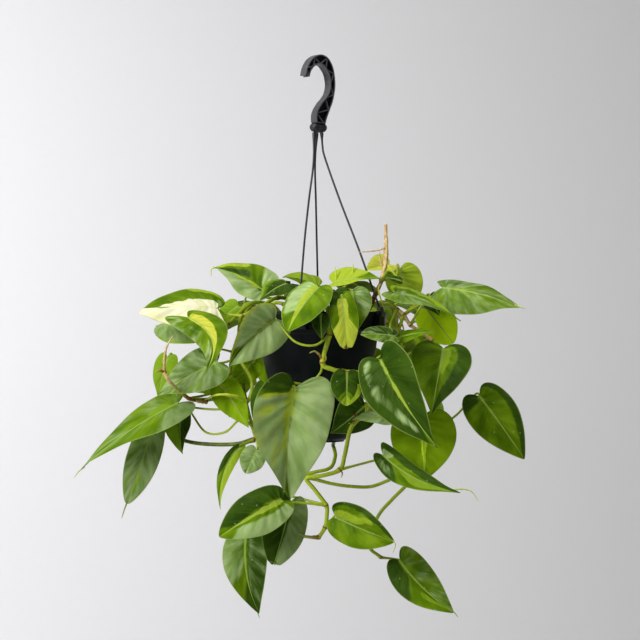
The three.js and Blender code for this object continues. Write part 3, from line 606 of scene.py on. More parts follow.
# Underside, gloss and relief. The underside is a paler olive-lime, brightened further as a painted glow of
# light shining through the blade.
underside_and_glow = ramp(tree, patch, (0.3, (0.165, 0.290, 0.003)), (0.7, (0.290, 0.470, 0.008)))
underside_and_glow = blend(tree, lime, underside_and_glow, (0.60, 0.88, 0.012))
underside_and_glow = blend(tree, maths(tree, "MULTIPLY", side_vein, 0.8), underside_and_glow, (0.26, 0.33, 0.05))
underside_and_glow = blend(tree, rib, underside_and_glow, (0.36, 0.44, 0.09))
shine = remap(tree, patch, 0.3, 0.7, 0.30, 0.44)
relief = maths(tree, "ADD", maths(tree, "MULTIPLY", wave, 0.5),
               maths(tree, "MULTIPLY", noise(tree, place, 1600.0), 0.25))
relief = maths(tree, "ADD", relief, maths(tree, "MULTIPLY", broad, 0.6))
swell = bump(tree, noise(tree, place, 55.0, 1.0), 0.5, 0.004)
dress(tree, shader, Base_Color=blend(tree, under, colour, underside_and_glow),
      Roughness=maths(tree, "MULTIPLY_ADD", under, 0.2, shine),
      Specular_IOR_Level=remap(tree, pale_and_sheen, 0.0, 1.0, 0.06, 0.34),
      Normal=bump(tree, relief, 0.3, 0.0003, swell))


# Growth. Each vine is a fleshy stem that comes out of the mix, lies over the rim and
# trails. At each node it carries a petiole, bent so that the blade faces the light.
ROWS, ACROSS, BLADE, KEEL, GROOVE = 56, 27, 0.7, 1.1, 0.35
STEM, STEM_SIDES, STEM_STEPS = 2.3, 12, 12
PETIOLE, PETIOLE_SIDES, PETIOLE_STEPS = 1.45, 10, 10
HOLE_FOOT, PETIOLE_BEND = -332, 12
FADE_ACROSS, FADE_ALONG = 0.22, 0.16
ALL_OVER, STRIPE = [(-1, 1, 0, 1)], [(-0.1, 0.1, 0.05, 1)]
along_edge = np.linspace(0, 1, ROWS)[:, None]
rib_to_edge = np.sin(np.linspace(-1, 1, ACROSS) * math.pi / 2)[None, :]
plain_leaf = dict(
    aim=0, lift=0, fold=0.22, cup=0.28, droop=0.06, side=0, twist=0, wave=0.05, cut=1, taper=0.4,
    via=(), reach=None, thick=1.0, tone=0.62, sun=0.0, lime=(), cream=(), pale=(), deep=(), dry=())


def leaf_at(at, base, tip, width, **more):
    """What makes one leaf: the point of the stem that it grows from, with 0 at the root, its
    blade's base, tip and width, and where it is no plain leaf, the points in via that its
    petiole goes by, and aim and lift, the degrees from the front and from level that its
    face looks to. Each colour is painted in boxes: from one edge (-1) to the other (1),
    from the base (0) to the tip (1), and a strength where it isn't 1."""
    return {**plain_leaf, "at": at, "base": base, "tip": tip, "width": width, **more}


def soft_box(value, low, high, fade):
    """1 between low and high, falling to 0 over fade on either side; an end at the
    blade's own border stays 1."""
    rise = np.ones_like(value) if low <= -0.99 else np.clip((value - low) / fade + 0.5, 0, 1)
    fall = np.ones_like(value) if high >= 0.99 else np.clip((high - value) / fade + 0.5, 0, 1)
    return np.minimum(rise, fall)


def blade_frame(leaf):
    """Base, the directions along, across and up, and the length of a blade."""
    base, tip = np.array(leaf["base"], float), np.array(leaf["tip"], float)
    length = np.linalg.norm(tip - base)
    along = (tip - base) / length
    a, b = math.radians(leaf["aim"]), math.radians(leaf["lift"])
    up = np.array([math.sin(a) * math.cos(b), -math.cos(a) * math.cos(b), math.sin(b)])
    up = unit(up - up @ along * along)
    return base, along, np.cross(up, along), up, length


def half_breadth(s, taper):
    """The blade's half breadth at s: sin(turn) h^taper, brought to 1 at its widest."""
    turn = math.pi * (1 - s)
    share = (2 * taper + 1) / (2 * taper + 2)
    widest = 2 * math.sqrt(1 - share) * share ** (taper + 0.5)
    return np.sin(turn) * ((1 - np.cos(turn)) / 2) ** taper / widest


def blade_surface(leaf, s, r):
    """The heart: s runs along the edge from the sinus round the lobe to the tip, and r from
    the rib (0) to the edge (1). The edge is 0.9 (1 - h) less a lobe along and half_breadth
    across, with h the height of a half turn. Lines of equal s are the side veins. The
    blade is folded at the rib, cupped, waved at its edge, drooped and twisted."""
    base, along, across, up, length = blade_frame(leaf)
    width, cut, half = leaf["width"], leaf["cut"], leaf["width"] / 2
    turn = math.pi * (1 - s)
    h = (1 - np.cos(turn)) / 2
    lobe = 0.2 * h * (1 - (1 - np.sin(turn)) ** 3)
    edge_x = 0.9 * (1 - h) - lobe + 0.1 * (1 - h) ** 12
    edge_y = half_breadth(s, leaf["taper"]) * (1 - 0.18 * np.clip((s - 0.7) / 0.3, 0, 1) ** 1.5)
    rib_x = s ** 2.9
    x = rib_x + (edge_x - rib_x) * np.abs(r)
    x = np.minimum(x, cut + 0.03 * (cut < 1) * np.sin(13 * r))
    y = edge_y * r
    arch = 4 * x * (1 - x)
    roll = math.radians(leaf["twist"]) * (x - 0.3)
    rise = leaf["fold"] * np.sqrt(y * y + 0.0016) - leaf["cup"] * y * y
    rise = rise + leaf["wave"] * y * y * np.sin(9 * s + width * np.sign(r))
    rise = rise + 0.022 * r * r * np.sin(23 * s + 5 * np.sign(r) + width)
    ridges = 0.02 * np.cos(VEINS * s) + 0.03 * np.sin(27 * s + 3 * np.sign(r) + width)
    rise = rise + ridges * np.abs(r) * (1 - np.abs(r)) * 2
    off_across = half * (y * np.cos(roll) - rise * np.sin(roll)) + leaf["side"] * length * arch
    off_up = half * (y * np.sin(roll) + rise * np.cos(roll)) + leaf["droop"] * length * arch
    steps = ((along, x * length), (across, off_across), (up, off_up))
    return base + sum(way * far[..., None] for way, far in steps), y


def blade_mesh(leaf):
    """Top grid and bottom grid sewn at the edge into one ring per row, with a point at the
    sinus and one at the tip. The underside sinks below the top by the blade's thickness,
    and by a keel under the rib. Gives points, faces, the fields that the leaf's surface
    reads, and the vein map."""
    s, r = np.broadcast_arrays(along_edge, rib_to_edge)
    top, y = blade_surface(leaf, s, r)
    up = blade_frame(leaf)[3]
    off_rib = y * leaf["width"] / 2
    thick = BLADE * (1 - np.abs(r) ** 8) * np.clip(8 * (1 - s), 0.15, 1)
    keel = KEEL * np.exp(-(off_rib / 1.1) ** 2) * (1 - 0.8 * s) * (s > 0.02)
    top = top - up * (GROOVE * np.exp(-(off_rib / 0.7) ** 2))[..., None]
    below = top - up * (thick + keel)[..., None]

    def sewn(upper, lower, ends):
        """Both sides of the blade in the mesh's order: the rows, then the two end points."""
        ring = np.concatenate([upper, lower[:, -2:0:-1]], 1)[1:-1]
        return np.concatenate([ring.reshape(-1, *upper.shape[2:]), ends])

    rib = ACROSS // 2
    points = sewn(top, below, [top[0, rib], top[-1, rib]])
    s, r = sewn(s, s, [0, 1]), sewn(r, r, [0, 0])
    data = {"under": sewn(np.zeros_like(y), np.ones_like(y), [0.5, 0.5])}
    for name in ("lime", "cream", "pale", "deep", "dry"):
        data[name] = np.zeros(len(points))
        for r0, r1, s0, s1, *strength in leaf[name]:
            box = soft_box(r, r0, r1, FADE_ACROSS)
            box = box * soft_box(s * 2 - 1, s0 * 2 - 1, s1 * 2 - 1, FADE_ALONG)
            data[name] = np.maximum(data[name], box * (strength or [1])[0])
    data["seed"] = np.full(len(points), (leaf["width"] * 3.7 + leaf["base"][0] * 1.3) % 40)
    data["sun"] = np.full(len(points), float(leaf["sun"]))
    wide = half_breadth(s, leaf["taper"]) * leaf["width"] / 2
    data["rib"] = np.clip((1.7 - 1.3 * s) / (wide + 0.5), 0.012, 0.5)
    faces = [f[::-1] for f in capped_faces(ROWS - 2, 2 * ACROSS - 2)]
    return points, faces, data, np.column_stack([s, (r + 1) / 2])


stem_skin, tree, shader = new_material("fleshy_stem", Specular_IOR_Level=0.3)
fibre = noise(tree, position(tree), 240.0, 3.0)
tone = maths(tree, "ADD", field(tree, "tone"), maths(tree, "MULTIPLY_ADD", fibre, 0.5, -0.25))
scar = maths(tree, "ADD", field(tree, "node"), maths(tree, "MULTIPLY_ADD", fibre, 0.9, -0.45))
skin = ramp(tree, tone, (0.0, (0.055, 0.085, 0.008)), (0.45, (0.30, 0.41, 0.014)),
            (1.0, (0.64, 0.76, 0.045)))
straw = ramp(tree, fibre, (0.35, (0.58, 0.33, 0.10)), (0.7, (0.92, 0.74, 0.36)))
rust = ramp(tree, fibre, (0.35, (0.13, 0.032, 0.004)), (0.7, (0.42, 0.16, 0.025)))
skin = blend(tree, field(tree, "dry"), skin, straw)
skin = blend(tree, remap(tree, scar, 0.5, 0.8, 0.0, 1.0), skin, rust)
dress(tree, shader, Base_Color=skin, Roughness=remap(tree, fibre, 0.3, 0.7, 0.32, 0.5),
      Normal=bump(tree, fibre, 0.3, 0.0004))


def make_grown(name, shapes, material):
    """Shapes of (points, faces, fields) as one mesh, whose attributes are the fields."""
    thing = make_mesh(name, *join([shape[:2] for shape in shapes]), material)
    for key in shapes[0][2]:
        values = np.concatenate([shape[2][key] for shape in shapes]).astype(np.float32)
        thing.data.attributes.new(key, "FLOAT", "POINT").data.foreach_set("value", values)
    return thing


def shoot(route, radius, sides, steps, peak, **fields):
    """A tube, and for each field one number per ring and one for each end's point."""
    data = {}
    for name, (rings, first, last) in fields.items():
        rings = np.broadcast_to(rings, len(radius))
        data[name] = np.concatenate([np.repeat(rings, sides), [first, last]])
    return *tube(route, radius, sides, steps, peak), data


def grow(name, root, path, leaves, tone=0.5, thick=1.0, dries=2.0):
    """One vine: its blades as one mesh, its stem and petioles as another. The stem rises
    from its root in the mix and follows the path. Past dries, a share of its length, it has
    dried out."""
    blades = [blade_mesh(leaf) for leaf in leaves]
    thing = make_grown(name + "_blades", blades, leaf_skin)
    corners = np.empty(len(thing.data.loops), np.int32)
    thing.data.loops.foreach_get("vertex_index", corners)
    veins = np.concatenate([blade[3] for blade in blades])[corners].astype(np.float32)
    thing.data.uv_layers.new(name="veins").data.foreach_set("uv", veins.ravel())
    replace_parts(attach(thing, "root"), name)

    points = [(*root, HOLE_FOOT), (*root, SOIL_TOP - 8), (*root, SOIL_TOP + 7), *path]
    line = smooth_path(points, STEM_STEPS)
    knots = [line[(leaf["at"] + 2) * STEM_STEPS] for leaf in leaves]
    near = np.min([np.linalg.norm(line - knot, axis=1) for knot in knots], axis=0)
    gone = np.linspace(0, 1, len(line))
    swell = (1 + 0.3 * np.exp(-(near / 2.6) ** 2)) * np.linspace(1.08, 0.86, len(line))
    mark = np.maximum(np.exp(-(near / 1.5) ** 2), np.exp(-((gone - dries + 0.04) / 0.06) ** 2))
    parts = [shoot(points, STEM * thick * swell, STEM_SIDES, STEM_STEPS, peak=0.7, tone=(tone,) * 3,
                   node=(mark, 0, 0.6), dry=(np.clip((gone - dries) / 0.06, 0, 1), 0, float(dries < 1)))]
    for leaf, knot in zip(leaves, knots):
        base, along, _, up, _ = blade_frame(leaf)
        reach = leaf["reach"] or min(PETIOLE_BEND, np.linalg.norm(base - knot) / 3)
        under = base - up * reach - along * reach / 2
        joint = base - up * 0.9 + along * 2.2
        route = [knot, *leaf["via"], under, joint]
        t = np.linspace(0, 1, (len(route) - 1) * PETIOLE_STEPS + 1)
        swell = 1 + 0.45 * np.exp(-(t / 0.1) ** 2) - 0.12 * t + 0.2 * np.exp(-((1 - t) / 0.08) ** 2)
        mark = 0.75 * np.exp(-(t / 0.05) ** 2)
        parts.append(shoot(route, PETIOLE * leaf["thick"] * swell, PETIOLE_SIDES, PETIOLE_STEPS,
                           peak=0.8, tone=(leaf["tone"],) * 3, node=(mark, 0.7, 0), dry=(0,) * 3))
    stems = make_grown(name + "_stems", parts, stem_skin)
    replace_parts(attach(stems, "root"), name)


# Front vine. The longest one: it comes over the rim at the front, turns right below the
# big centre leaf, and ends in the leaves that hang lowest at the left. Its first petiole
# to the left holds the grey-green leaf in front of the rim.
grow("vine_front", (4, -46), [
    (6, -62, -287), (9, -86, -288), (13, -97, -304), (13, -97, -323), (5, -93, -355), (16, -91, -363),
    (29, -88, -366), (46, -84, -368), (58, -76, -382), (60, -67, -403), (56, -63, -417), (45, -62, -424),
    (37, -62, -436), (31, -64, -464), (25, -66, -481), (4, -68, -488), (-14, -66, -491), (-4, -64, -505),
    (9, -62, -523), (10, -60, -535), (8, -58, -549), (0, -56, -562)
], [
    leaf_at(3, (27, -90, -279), (33, -107, -344), 34, aim=12, lift=5, cut=0.9, taper=0, reach=4,
            deep=[(-1, -0.2, 0, 0.42)], lime=[(-0.4, 0.35, 0.3, 1), (-1, 1, 0.66, 1)], sun=0.65,
            dry=[(-1, 1, 0.94, 1), (0.32, 0.38, 0.5, 0.53)]),
    leaf_at(3, (3, -103, -301), (4, -106, -329), 22, aim=-10, lift=5, reach=4, deep=ALL_OVER),
    leaf_at(5, (-26, -108, -383), (-32, -128, -511), 102, aim=26, lift=5, fold=0.48, side=-0.09, taper=0.3,
            via=[(2, -86, -368), (-12, -88, -380)], deep=[(-1, -0.06, 0, 0.34), (0.03, 0.28, 0.7, 0.92)],
            pale=[(0.04, 1, 0, 1), (-1, -0.12, 0.38, 0.9)],
            lime=[(-0.16, 0.02, 0.04, 1), (-0.9, 0, 0.36, 0.39), (-1, -0.1, 0.4, 0.85, 0.46),
                  (0.04, 0.2, 0.25, 0.7, 0.5)], sun=0.5),
    leaf_at(7, (33, -94, -367), (32, -100, -405), 38, aim=10, taper=0, deep=[(-1, 1, 0, 0.8)],
            lime=[(0.7, 1, 0.5, 1), (-1, 1, 0.86, 1)], sun=0.3),
    # The grey-green streaks on this leaf's left half are a painted highlight, the gloss along the blade.
    leaf_at(8, (72, -110, -352), (136, -134, -452), 78, aim=-38, fold=0.42,
            deep=[(-1, -0.05, 0, 0.9), (0.08, 1, 0, 0.9)], pale=[(-0.78, -0.4, 0.12, 0.85, 0.52)],
            lime=[(-0.03, 0.05, 0.08, 0.6), (-0.1, 0.12, 0.6, 1)], sun=0.5),
    leaf_at(10, (84, -72, -419), (39, -78, -422), 28, aim=10, lift=50, pale=ALL_OVER),
    leaf_at(11, (54, -46, -408), (14, -40, -440), 50, aim=25, deep=ALL_OVER),
    leaf_at(15, (76, -72, -464), (164, -104, -505), 38, lift=40, side=-0.13,
            deep=[(-1, 0, 0, 0.5), (0.4, 1, 0, 1)], pale=[(-0.9, -0.3, 0.2, 0.48, 0.55), (0, 0.5, 0, 0.4)],
            lime=[(-0.85, 0.08, 0.6, 1)], sun=0.1),
    leaf_at(19, (-43, -82, -515), (-114, -104, -556), 56, aim=-10, lift=20, taper=0.05,
            lime=[(-0.08, 0.16, 0.05, 1)], deep=[(-1, -0.15, 0, 0.9)], pale=[(0.35, 1, 0.2, 0.85)],
            sun=0.4),
    leaf_at(19, (-32, -56, -519), (-53, -66, -595), 52, aim=10, cut=0.94, taper=0, deep=[(-1, 0.1, 0, 1)],
            pale=[(0.15, 1, 0.1, 0.95)]),
    leaf_at(21, (21, -74, -536), (88, -98, -562), 50, lift=-10, fold=0.4, taper=0.1,
            lime=[(0.08, 0.5, 0.06, 0.7), (0.5, 0.7, 0.6, 0.75)], deep=[(0.75, 1, 0, 1)], sun=0.25),
    leaf_at(22, (-86, -30, -560), (-70, -48, -652), 54, aim=10, fold=0.3, side=-0.08, taper=0.25,
            lime=[(-0.05, 0.05, 0.05, 1)], pale=[(-1, -0.05, 0, 0.7, 0.62), (0.1, 1, 0.1, 0.9, 0.47)],
            deep=[(0.1, 1, 0, 1), (-1, -0.1, 0.8, 1)], sun=0.1),
    leaf_at(4, (-50, -96, -305), (-103, -122, -359), 60, aim=28, lift=-8, fold=0.42, side=-0.07, taper=0.3,
            reach=5, via=[(-4, -108, -335), (-28, -104, -330)], pale=[(0.05, 1, 0, 1), (-1, -0.1, 0, 0.8)],
            deep=[(-0.6, 0, 0.85, 1)], lime=[(-0.1, 0.02, 0.02, 1), (-1, -0.9, 0.1, 1)], sun=0.8),
], tone=0.7, thick=1.2)

# Top vine. A short stem that stands up in the middle and spreads two leaves forward
# over the rim, one of them brushed with a wide lime stripe.
grow("vine_top", (14, -16), [
    (16, -24, -284), (14, -40, -275), (12, -58, -274)
], [
    leaf_at(3, (0, -88, -268), (-35, -122, -319), 52, aim=-22, lift=22, taper=0,
            lime=[(-0.34, -0.03, 0.15, 1)], pale=[(-0.9, -0.2, 0.2, 0.8)], sun=0.5),
    leaf_at(2, (39, -72, -272), (45, -88, -320), 46, aim=12, lift=10, tone=0.6, deep=[(-1, -0.2, 0, 1)],
            pale=[(0.1, 1, 0, 0.7, 0.6)]),
    leaf_at(1, (1, 18, -263), (-43, 8, -254), 44, lift=60, lime=[(-1, 0.2, 0, 1)], sun=0.2),
])

# Upper left vine. It carries the half ivory leaf that reaches far to the left, and the
# striped leaf that rises highest on that side.
grow("vine_top_left", (-26, -30), [
    (-32, -36, -284), (-48, -50, -280), (-66, -60, -289), (-88, -64, -301)
], [
    leaf_at(4, (-118, -55, -292), (-210, -72, -298), 64, lift=38, fold=-0.12, cup=0.1, side=-0.02,
            taper=0.2, cream=[(0, 1, 0.2, 1), (-0.42, 0.1, 0.2, 0.86), (-1, 1, 0.88, 1)],
            pale=[(-0.7, -0.2, 0, 0.3, 0.6)], lime=[(-1, -0.82, 0.1, 0.5)], sun=0.3),
    leaf_at(2, (-63, -40, -273), (-125, -24, -243), 70, aim=32, lift=45, fold=0.42,
            lime=[(-0.08, 0.25, 0.45, 1), (-1, -0.75, 0.6, 1)], deep=[(-0.6, -0.2, 0.62, 1)],
            pale=[(-1, -0.1, 0, 0.45), (0.2, 1, 0, 0.9)], sun=0.5),
    leaf_at(1, (-97, 16, -289), (-123, 10, -310), 30, lift=30, via=[(-58, -14, -272), (-84, 10, -274)],
            lime=ALL_OVER),
    leaf_at(1, (-38, -46, -263), (-68, -80, -283), 36, lift=50, lime=[(-1, -0.8, 0, 1)],
            deep=[(-0.6, 1, 0, 1)]),
])

# Upper right vine. It climbs beside the right strand, and its stem goes on above the
# leaves as a tan, dried-out shoot.
grow("vine_top_right", (50, -14), [
    (56, -20, -290), (66, -27, -278), (75, -34, -259), (79, -32, -229), (80, -30, -211), (80, -30, -193)
], [
    leaf_at(1, (19, -46, -262), (75, -51, -258), 36, lift=55, fold=0.6, reach=4,
            via=[(46, -34, -266), (30, -40, -264)], lime=[(-1, 1, 0, 0.75)], sun=0.45),
    leaf_at(3, (85, 0, -239), (55, -20, -248), 32, lift=40, fold=0.5, lime=ALL_OVER, sun=0.9),
    leaf_at(3, (98, 6, -245), (113, 8, -289), 45, lift=10, fold=0.45, taper=0.1, via=[(92, -28, -254)],
            lime=ALL_OVER, sun=0.35),
    leaf_at(3, (97, -58, -260), (77, -62, -256), 12, lift=40, reach=3, via=[(84, -48, -247)],
            deep=ALL_OVER),
], tone=0.3, dries=0.62)

# Right vine. It leaves the pot under the right strand, with leaves that fan out at rim
# height and the big leaf that hangs below them.
grow("vine_right", (52, -30), [
    (62, -30, -288), (83, -28, -287), (93, -32, -293), (101, -38, -300), (109, -36, -312),
    (120, -34, -319), (135, -32, -330)
], [
    leaf_at(7, (148, -36, -340), (131, -90, -416), 72, lift=30, fold=0.3, lime=[(0.02, 0.28, 0.18, 0.72)],
            deep=[(0.5, 1, 0, 1)], sun=0.1),
    leaf_at(4, (149, -10, -267), (239, -30, -291), 58, lift=42, fold=-0.2, taper=0.35,
            lime=[(-0.07, 0.07, 0.5, 1)], pale=[(-1, 1, 0, 1, 0.47)], sun=0.3),
    leaf_at(3, (89, -56, -273), (166, -78, -307), 50, lift=70, taper=0.9, lime=[(0.55, 1, 0.1, 1)],
            pale=[(-1, 0.3, 0, 1, 0.5)], sun=0.15),
    leaf_at(4, (134, 8, -277), (145, 0, -301), 26, lift=20, deep=ALL_OVER),
    leaf_at(5, (131, 10, -293), (162, 0, -334), 46, aim=170, lift=-10, taper=0, lime=ALL_OVER),
    leaf_at(3, (89, -86, -325), (49, -100, -323), 26, lift=40, fold=0.3, taper=0, reach=4,
            via=[(84, -66, -314)], deep=[(-1, 0.2, 0, 1)], pale=[(-1, 1, 0, 1, 0.44)]),
    leaf_at(4, (91, -66, -328), (137, -80, -320), 24, lift=55, lime=[(-0.2, 0.2, 0.1, 1)]),
    leaf_at(4, (98, -54, -341), (99, -58, -360), 16, aim=60, lime=ALL_OVER),
], tone=0.6, dries=0.6)

# Long right vine. It drops past the pot to the lowest leaf at the right, and holds the
# round leaf seen from below and the dark one far out.
grow("vine_right_low", (58, 4), [
    (66, 4, -287), (86, 2, -287), (94, 0, -310), (102, -8, -350), (114, -18, -390), (124, -20, -414),
    (123, -18, -450), (114, -28, -484), (105, -38, -500), (88, -42, -517), (70, -46, -538),
    (60, -36, -572), (74, -26, -588)
], [
    leaf_at(6, (124, -36, -420), (125, -58, -493), 78, aim=178, lift=-10, taper=0.15, tone=0.7,
            lime=[(-0.12, 0.12, 0.25, 1)]),
    leaf_at(6, (192, -20, -397), (244, -34, -471), 60, aim=10, fold=0.25, taper=0.2,
            via=[(145, -16, -428), (164, -16, -420)], deep=[(-1, -0.15, 0, 0.35), (0.7, 1, 0, 1)],
            lime=[(-0.03, 0.05, 0.1, 1)], sun=0.2),
    leaf_at(13, (97, -18, -593), (160, -40, -652), 50, lift=10, side=-0.05, taper=0.2,
            deep=[(-1, -0.1, 0, 0.6)], lime=[(-0.05, 0.03, 0.1, 1), (-0.6, -0.3, 0.7, 1)],
            pale=[(0.1, 1, 0.1, 1, 0.43)]),
    leaf_at(2, (122, 36, -304), (166, 58, -344), 52, aim=80, lift=35, deep=[(-1, 0, 0, 1)],
            lime=[(0.0, 0.2, 0.2, 1)]),
    leaf_at(4, (130, 16, -346), (156, 38, -400), 44, aim=70, lift=10, lime=[(-0.2, 0.1, 0.1, 1)]),
], tone=0.5)

# Left vine. It falls in front of the pot's left side and turns outwards, to the long
# pointed leaf and the small lime ones.
grow("vine_left", (-50, -14), [
    (-62, -18, -287), (-86, -24, -288), (-93, -34, -310), (-92, -52, -350), (-78, -60, -378),
    (-84, -62, -402), (-106, -56, -398), (-132, -48, -400), (-151, -66, -398), (-171, -96, -378),
    (-178, -99, -366)
], [
    leaf_at(4, (-118, -74, -355), (-187, -72, -394), 54, aim=-10, lift=20, pale=[(-1, 1, 0.1, 1, 0.6)],
            lime=[(-0.05, 0.03, 0.1, 1)], deep=[(-1, -0.2, 0, 0.5), (-1, 1, 0, 1, 0.55)]),
    leaf_at(4, (-76, -44, -356), (-104, -48, -383), 34, aim=180, lift=-30),
    leaf_at(6, (-166, -44, -404), (-280, -62, -482), 58, lift=55, droop=0.05, taper=0.7,
            via=[(-116, -54, -411)], lime=[(-0.3, 0, 0.35, 0.6)],
            pale=[(0.2, 1, 0.1, 0.45), (-1, 1, 0, 1, 0.44)]),
    leaf_at(8, (-180, -8, -351), (-191, -18, -399), 30, aim=-20, via=[(-158, -30, -394)], lime=ALL_OVER),
    leaf_at(9, (-125, -30, -384), (-151, -34, -392), 26, lift=50, lime=ALL_OVER),
], tone=0.6, dries=0.87)

# Low left vine. It runs down behind the left one, and its long thin petioles swing out
# to the left. A young leaf uncurls at its end.
grow("vine_left_low", (-44, 6), [
    (-58, 4, -287), (-86, 4, -288), (-94, -4, -312), (-92, -20, -360), (-86, -38, -400), (-78, -50, -430),
    (-73, -54, -446)
], [
    leaf_at(6, (-163, -21, -417), (-161, -30, -465), 44, aim=-40, fold=0.5,
            via=[(-92, -56, -423), (-110, -50, -438), (-134, -38, -438)], deep=[(0, 1, 0, 1)],
            lime=[(-1, -0.2, 0, 1)]),
    leaf_at(7, (-197, -18, -434), (-227, -32, -524), 40, aim=10, taper=0,
            via=[(-104, -40, -453), (-157, -24, -450)], thick=1.7, tone=0.12, lime=[(0, 0.35, 0.8, 0.95)],
            pale=[(-1, 1, 0, 1, 0.7)]),
    leaf_at(5, (-113, -62, -383), (-81, -76, -432), 38, aim=160, lift=-10),
    leaf_at(6, (-62, -86, -382), (-68, -98, -441), 34, aim=-35, deep=ALL_OVER),
    leaf_at(7, (-95, -66, -458), (-114, -72, -528), 17, lift=20, side=-0.1, twist=60, tone=0.3, thick=1.2,
            lime=[(-0.2, 1, 0.1, 1)], deep=[(-1, -0.3, 0, 0.6)], sun=0.3),
    leaf_at(7, (-72, -66, -458), (-85, -72, -485), 30, lift=10, taper=0, pale=ALL_OVER),
], tone=0.4)

# Far left vine. A short stem under the ivory leaf, with a curled leaf that shows a
# yellow middle, and a grey-green one with a lime edge.
grow("vine_far_left", (-56, -34), [
    (-66, -38, -287), (-82, -44, -288), (-106, -54, -310), (-132, -60, -323)
], [
    leaf_at(4, (-150, -92, -303), (-132, -114, -371), 52, lift=10, side=0.27, taper=0.7, reach=5,
            via=[(-140, -80, -334)], lime=[(-0.1, 0.5, 0.15, 1)], pale=[(-1, -0.3, 0, 1, 0.45)], sun=1.0),
    leaf_at(3, (-183, -30, -310), (-125, -44, -334), 44, lift=30, pale=ALL_OVER,
            lime=[(-1, -0.86, 0.3, 1)]),
])

# Rear vine. It hangs down behind the pot, crosses under it, and comes out at the front
# below the centre leaf, where its cut end points right.
grow("vine_back", (26, 38), [
    (32, 58, -287), (38, 78, -287), (41, 92, -308), (38, 98, -350), (28, 100, -395), (23, 86, -436),
    (19, 60, -455), (18, 30, -458), (18, 6, -458), (19, -16, -460), (20, -34, -468), (14, -50, -480),
    (-6, -57, -485), (-21, -54, -489), (-20, -47, -491), (-4, -45, -494), (16, -45, -499), (38, -47, -502),
    (62, -50, -502), (84, -52, -494)
], [
    leaf_at(2, (60, 98, -288), (98, 150, -328), 60, aim=150, lift=35, lime=[(-0.2, 0.3, 0.05, 1)]),
    leaf_at(3, (8, 112, -316), (-6, 148, -388), 64, aim=182, lift=20, lime=[(-0.5, 0.05, 0.1, 0.9)],
            pale=[(0.1, 1, 0, 1)]),
    leaf_at(4, (56, 118, -350), (72, 140, -424), 62, aim=165, lift=10, deep=[(0.1, 1, 0, 1)],
            lime=[(-0.12, 0.1, 0.05, 1)]),
    leaf_at(5, (-2, 114, -396), (-20, 130, -472), 58, aim=188, lift=5, lime=[(-0.1, 0.6, 0.3, 0.8)]),
], tone=0.55)

# Rear left vine. Its leaves face away from the front and cover the pot's back at the left.
grow("vine_back_left", (-30, 34), [
    (-42, 48, -287), (-58, 64, -287), (-70, 72, -308), (-78, 78, -345), (-78, 82, -385), (-66, 82, -420)
], [
    leaf_at(2, (-80, 88, -288), (-128, 132, -326), 60, aim=-148, lift=35, lime=[(-0.3, 0.1, 0.05, 1)],
            pale=[(0.1, 1, 0.2, 1)]),
    leaf_at(3, (-52, 108, -326), (-66, 138, -402), 62, aim=-172, lift=15, lime=[(-0.1, 0.15, 0.05, 1)],
            deep=[(-1, -0.2, 0, 1)]),
    leaf_at(4, (-92, 86, -362), (-108, 104, -424), 52, aim=-140, lift=5, lime=[(0.0, 1, 0.2, 0.6)]),
    leaf_at(6, (-44, 100, -424), (-50, 116, -488), 50, aim=-170, pale=[(-1, 0, 0, 1)], lime=STRIPE),
    leaf_at(1, (-34, 16, -262), (-74, 40, -270), 46, aim=-150, lift=60, deep=ALL_OVER),
    leaf_at(1, (-18, 42, -266), (-40, 92, -284), 44, aim=-170, lift=55, lime=[(-0.1, 0.5, 0, 1)]),
])

# Rear right vine. Its leaves cover the pot's back at the right.
grow("vine_back_right", (40, 20), [
    (56, 34, -287), (72, 48, -287), (84, 56, -310), (98, 62, -350), (106, 62, -390), (104, 58, -424)
], [
    leaf_at(2, (98, 62, -282), (150, 96, -318), 60, aim=122, lift=35, lime=[(-0.15, 0.2, 0.05, 1)],
            pale=[(-1, -0.2, 0.2, 1)]),
    leaf_at(3, (116, 80, -326), (136, 112, -398), 62, aim=140, lift=15, deep=[(0, 1, 0, 1)],
            lime=[(-0.3, 0.05, 0.1, 1)]),
    leaf_at(5, (126, 50, -372), (152, 72, -440), 54, aim=110, lift=5, lime=STRIPE),
    leaf_at(4, (80, 92, -366), (94, 116, -428), 54, aim=165, lime=[(-0.6, 0.0, 0.3, 0.8)],
            pale=[(0.1, 1, 0, 1)]),
    leaf_at(1, (34, 26, -262), (76, 56, -276), 40, aim=150, lift=60, deep=ALL_OVER),
    leaf_at(1, (22, 58, -270), (20, 106, -288), 40, aim=178, lift=50, lime=[(-0.2, 0.2, 0.05, 1)]),
])

# Left side vine. A short one between the left and the rear vines.
grow("vine_side_left", (-50, 24), [
    (-64, 30, -287), (-80, 34, -287), (-92, 38, -310), (-104, 38, -345), (-108, 34, -372)
], [
    leaf_at(2, (-106, 46, -298), (-160, 68, -330), 54, aim=-105, lift=35, lime=[(-0.1, 0.3, 0.05, 1)]),
    leaf_at(4, (-128, 26, -340), (-162, 44, -390), 50, aim=-95, lift=15, pale=[(-1, -0.1, 0, 1)],
            lime=STRIPE),
    leaf_at(5, (-106, 52, -374), (-110, 74, -426), 44, aim=-140, deep=ALL_OVER, lime=[(-0.1, 0.1, 0.3, 1)]),
])

# Small growth. Aerial roots, papery sheaths and an old shoot that have dried to tan and
# red-brown, and the soft threads that some blades run out to. Each grows from a node.
SPRIG_SIDES, SPRIG_STEPS = 8, 8


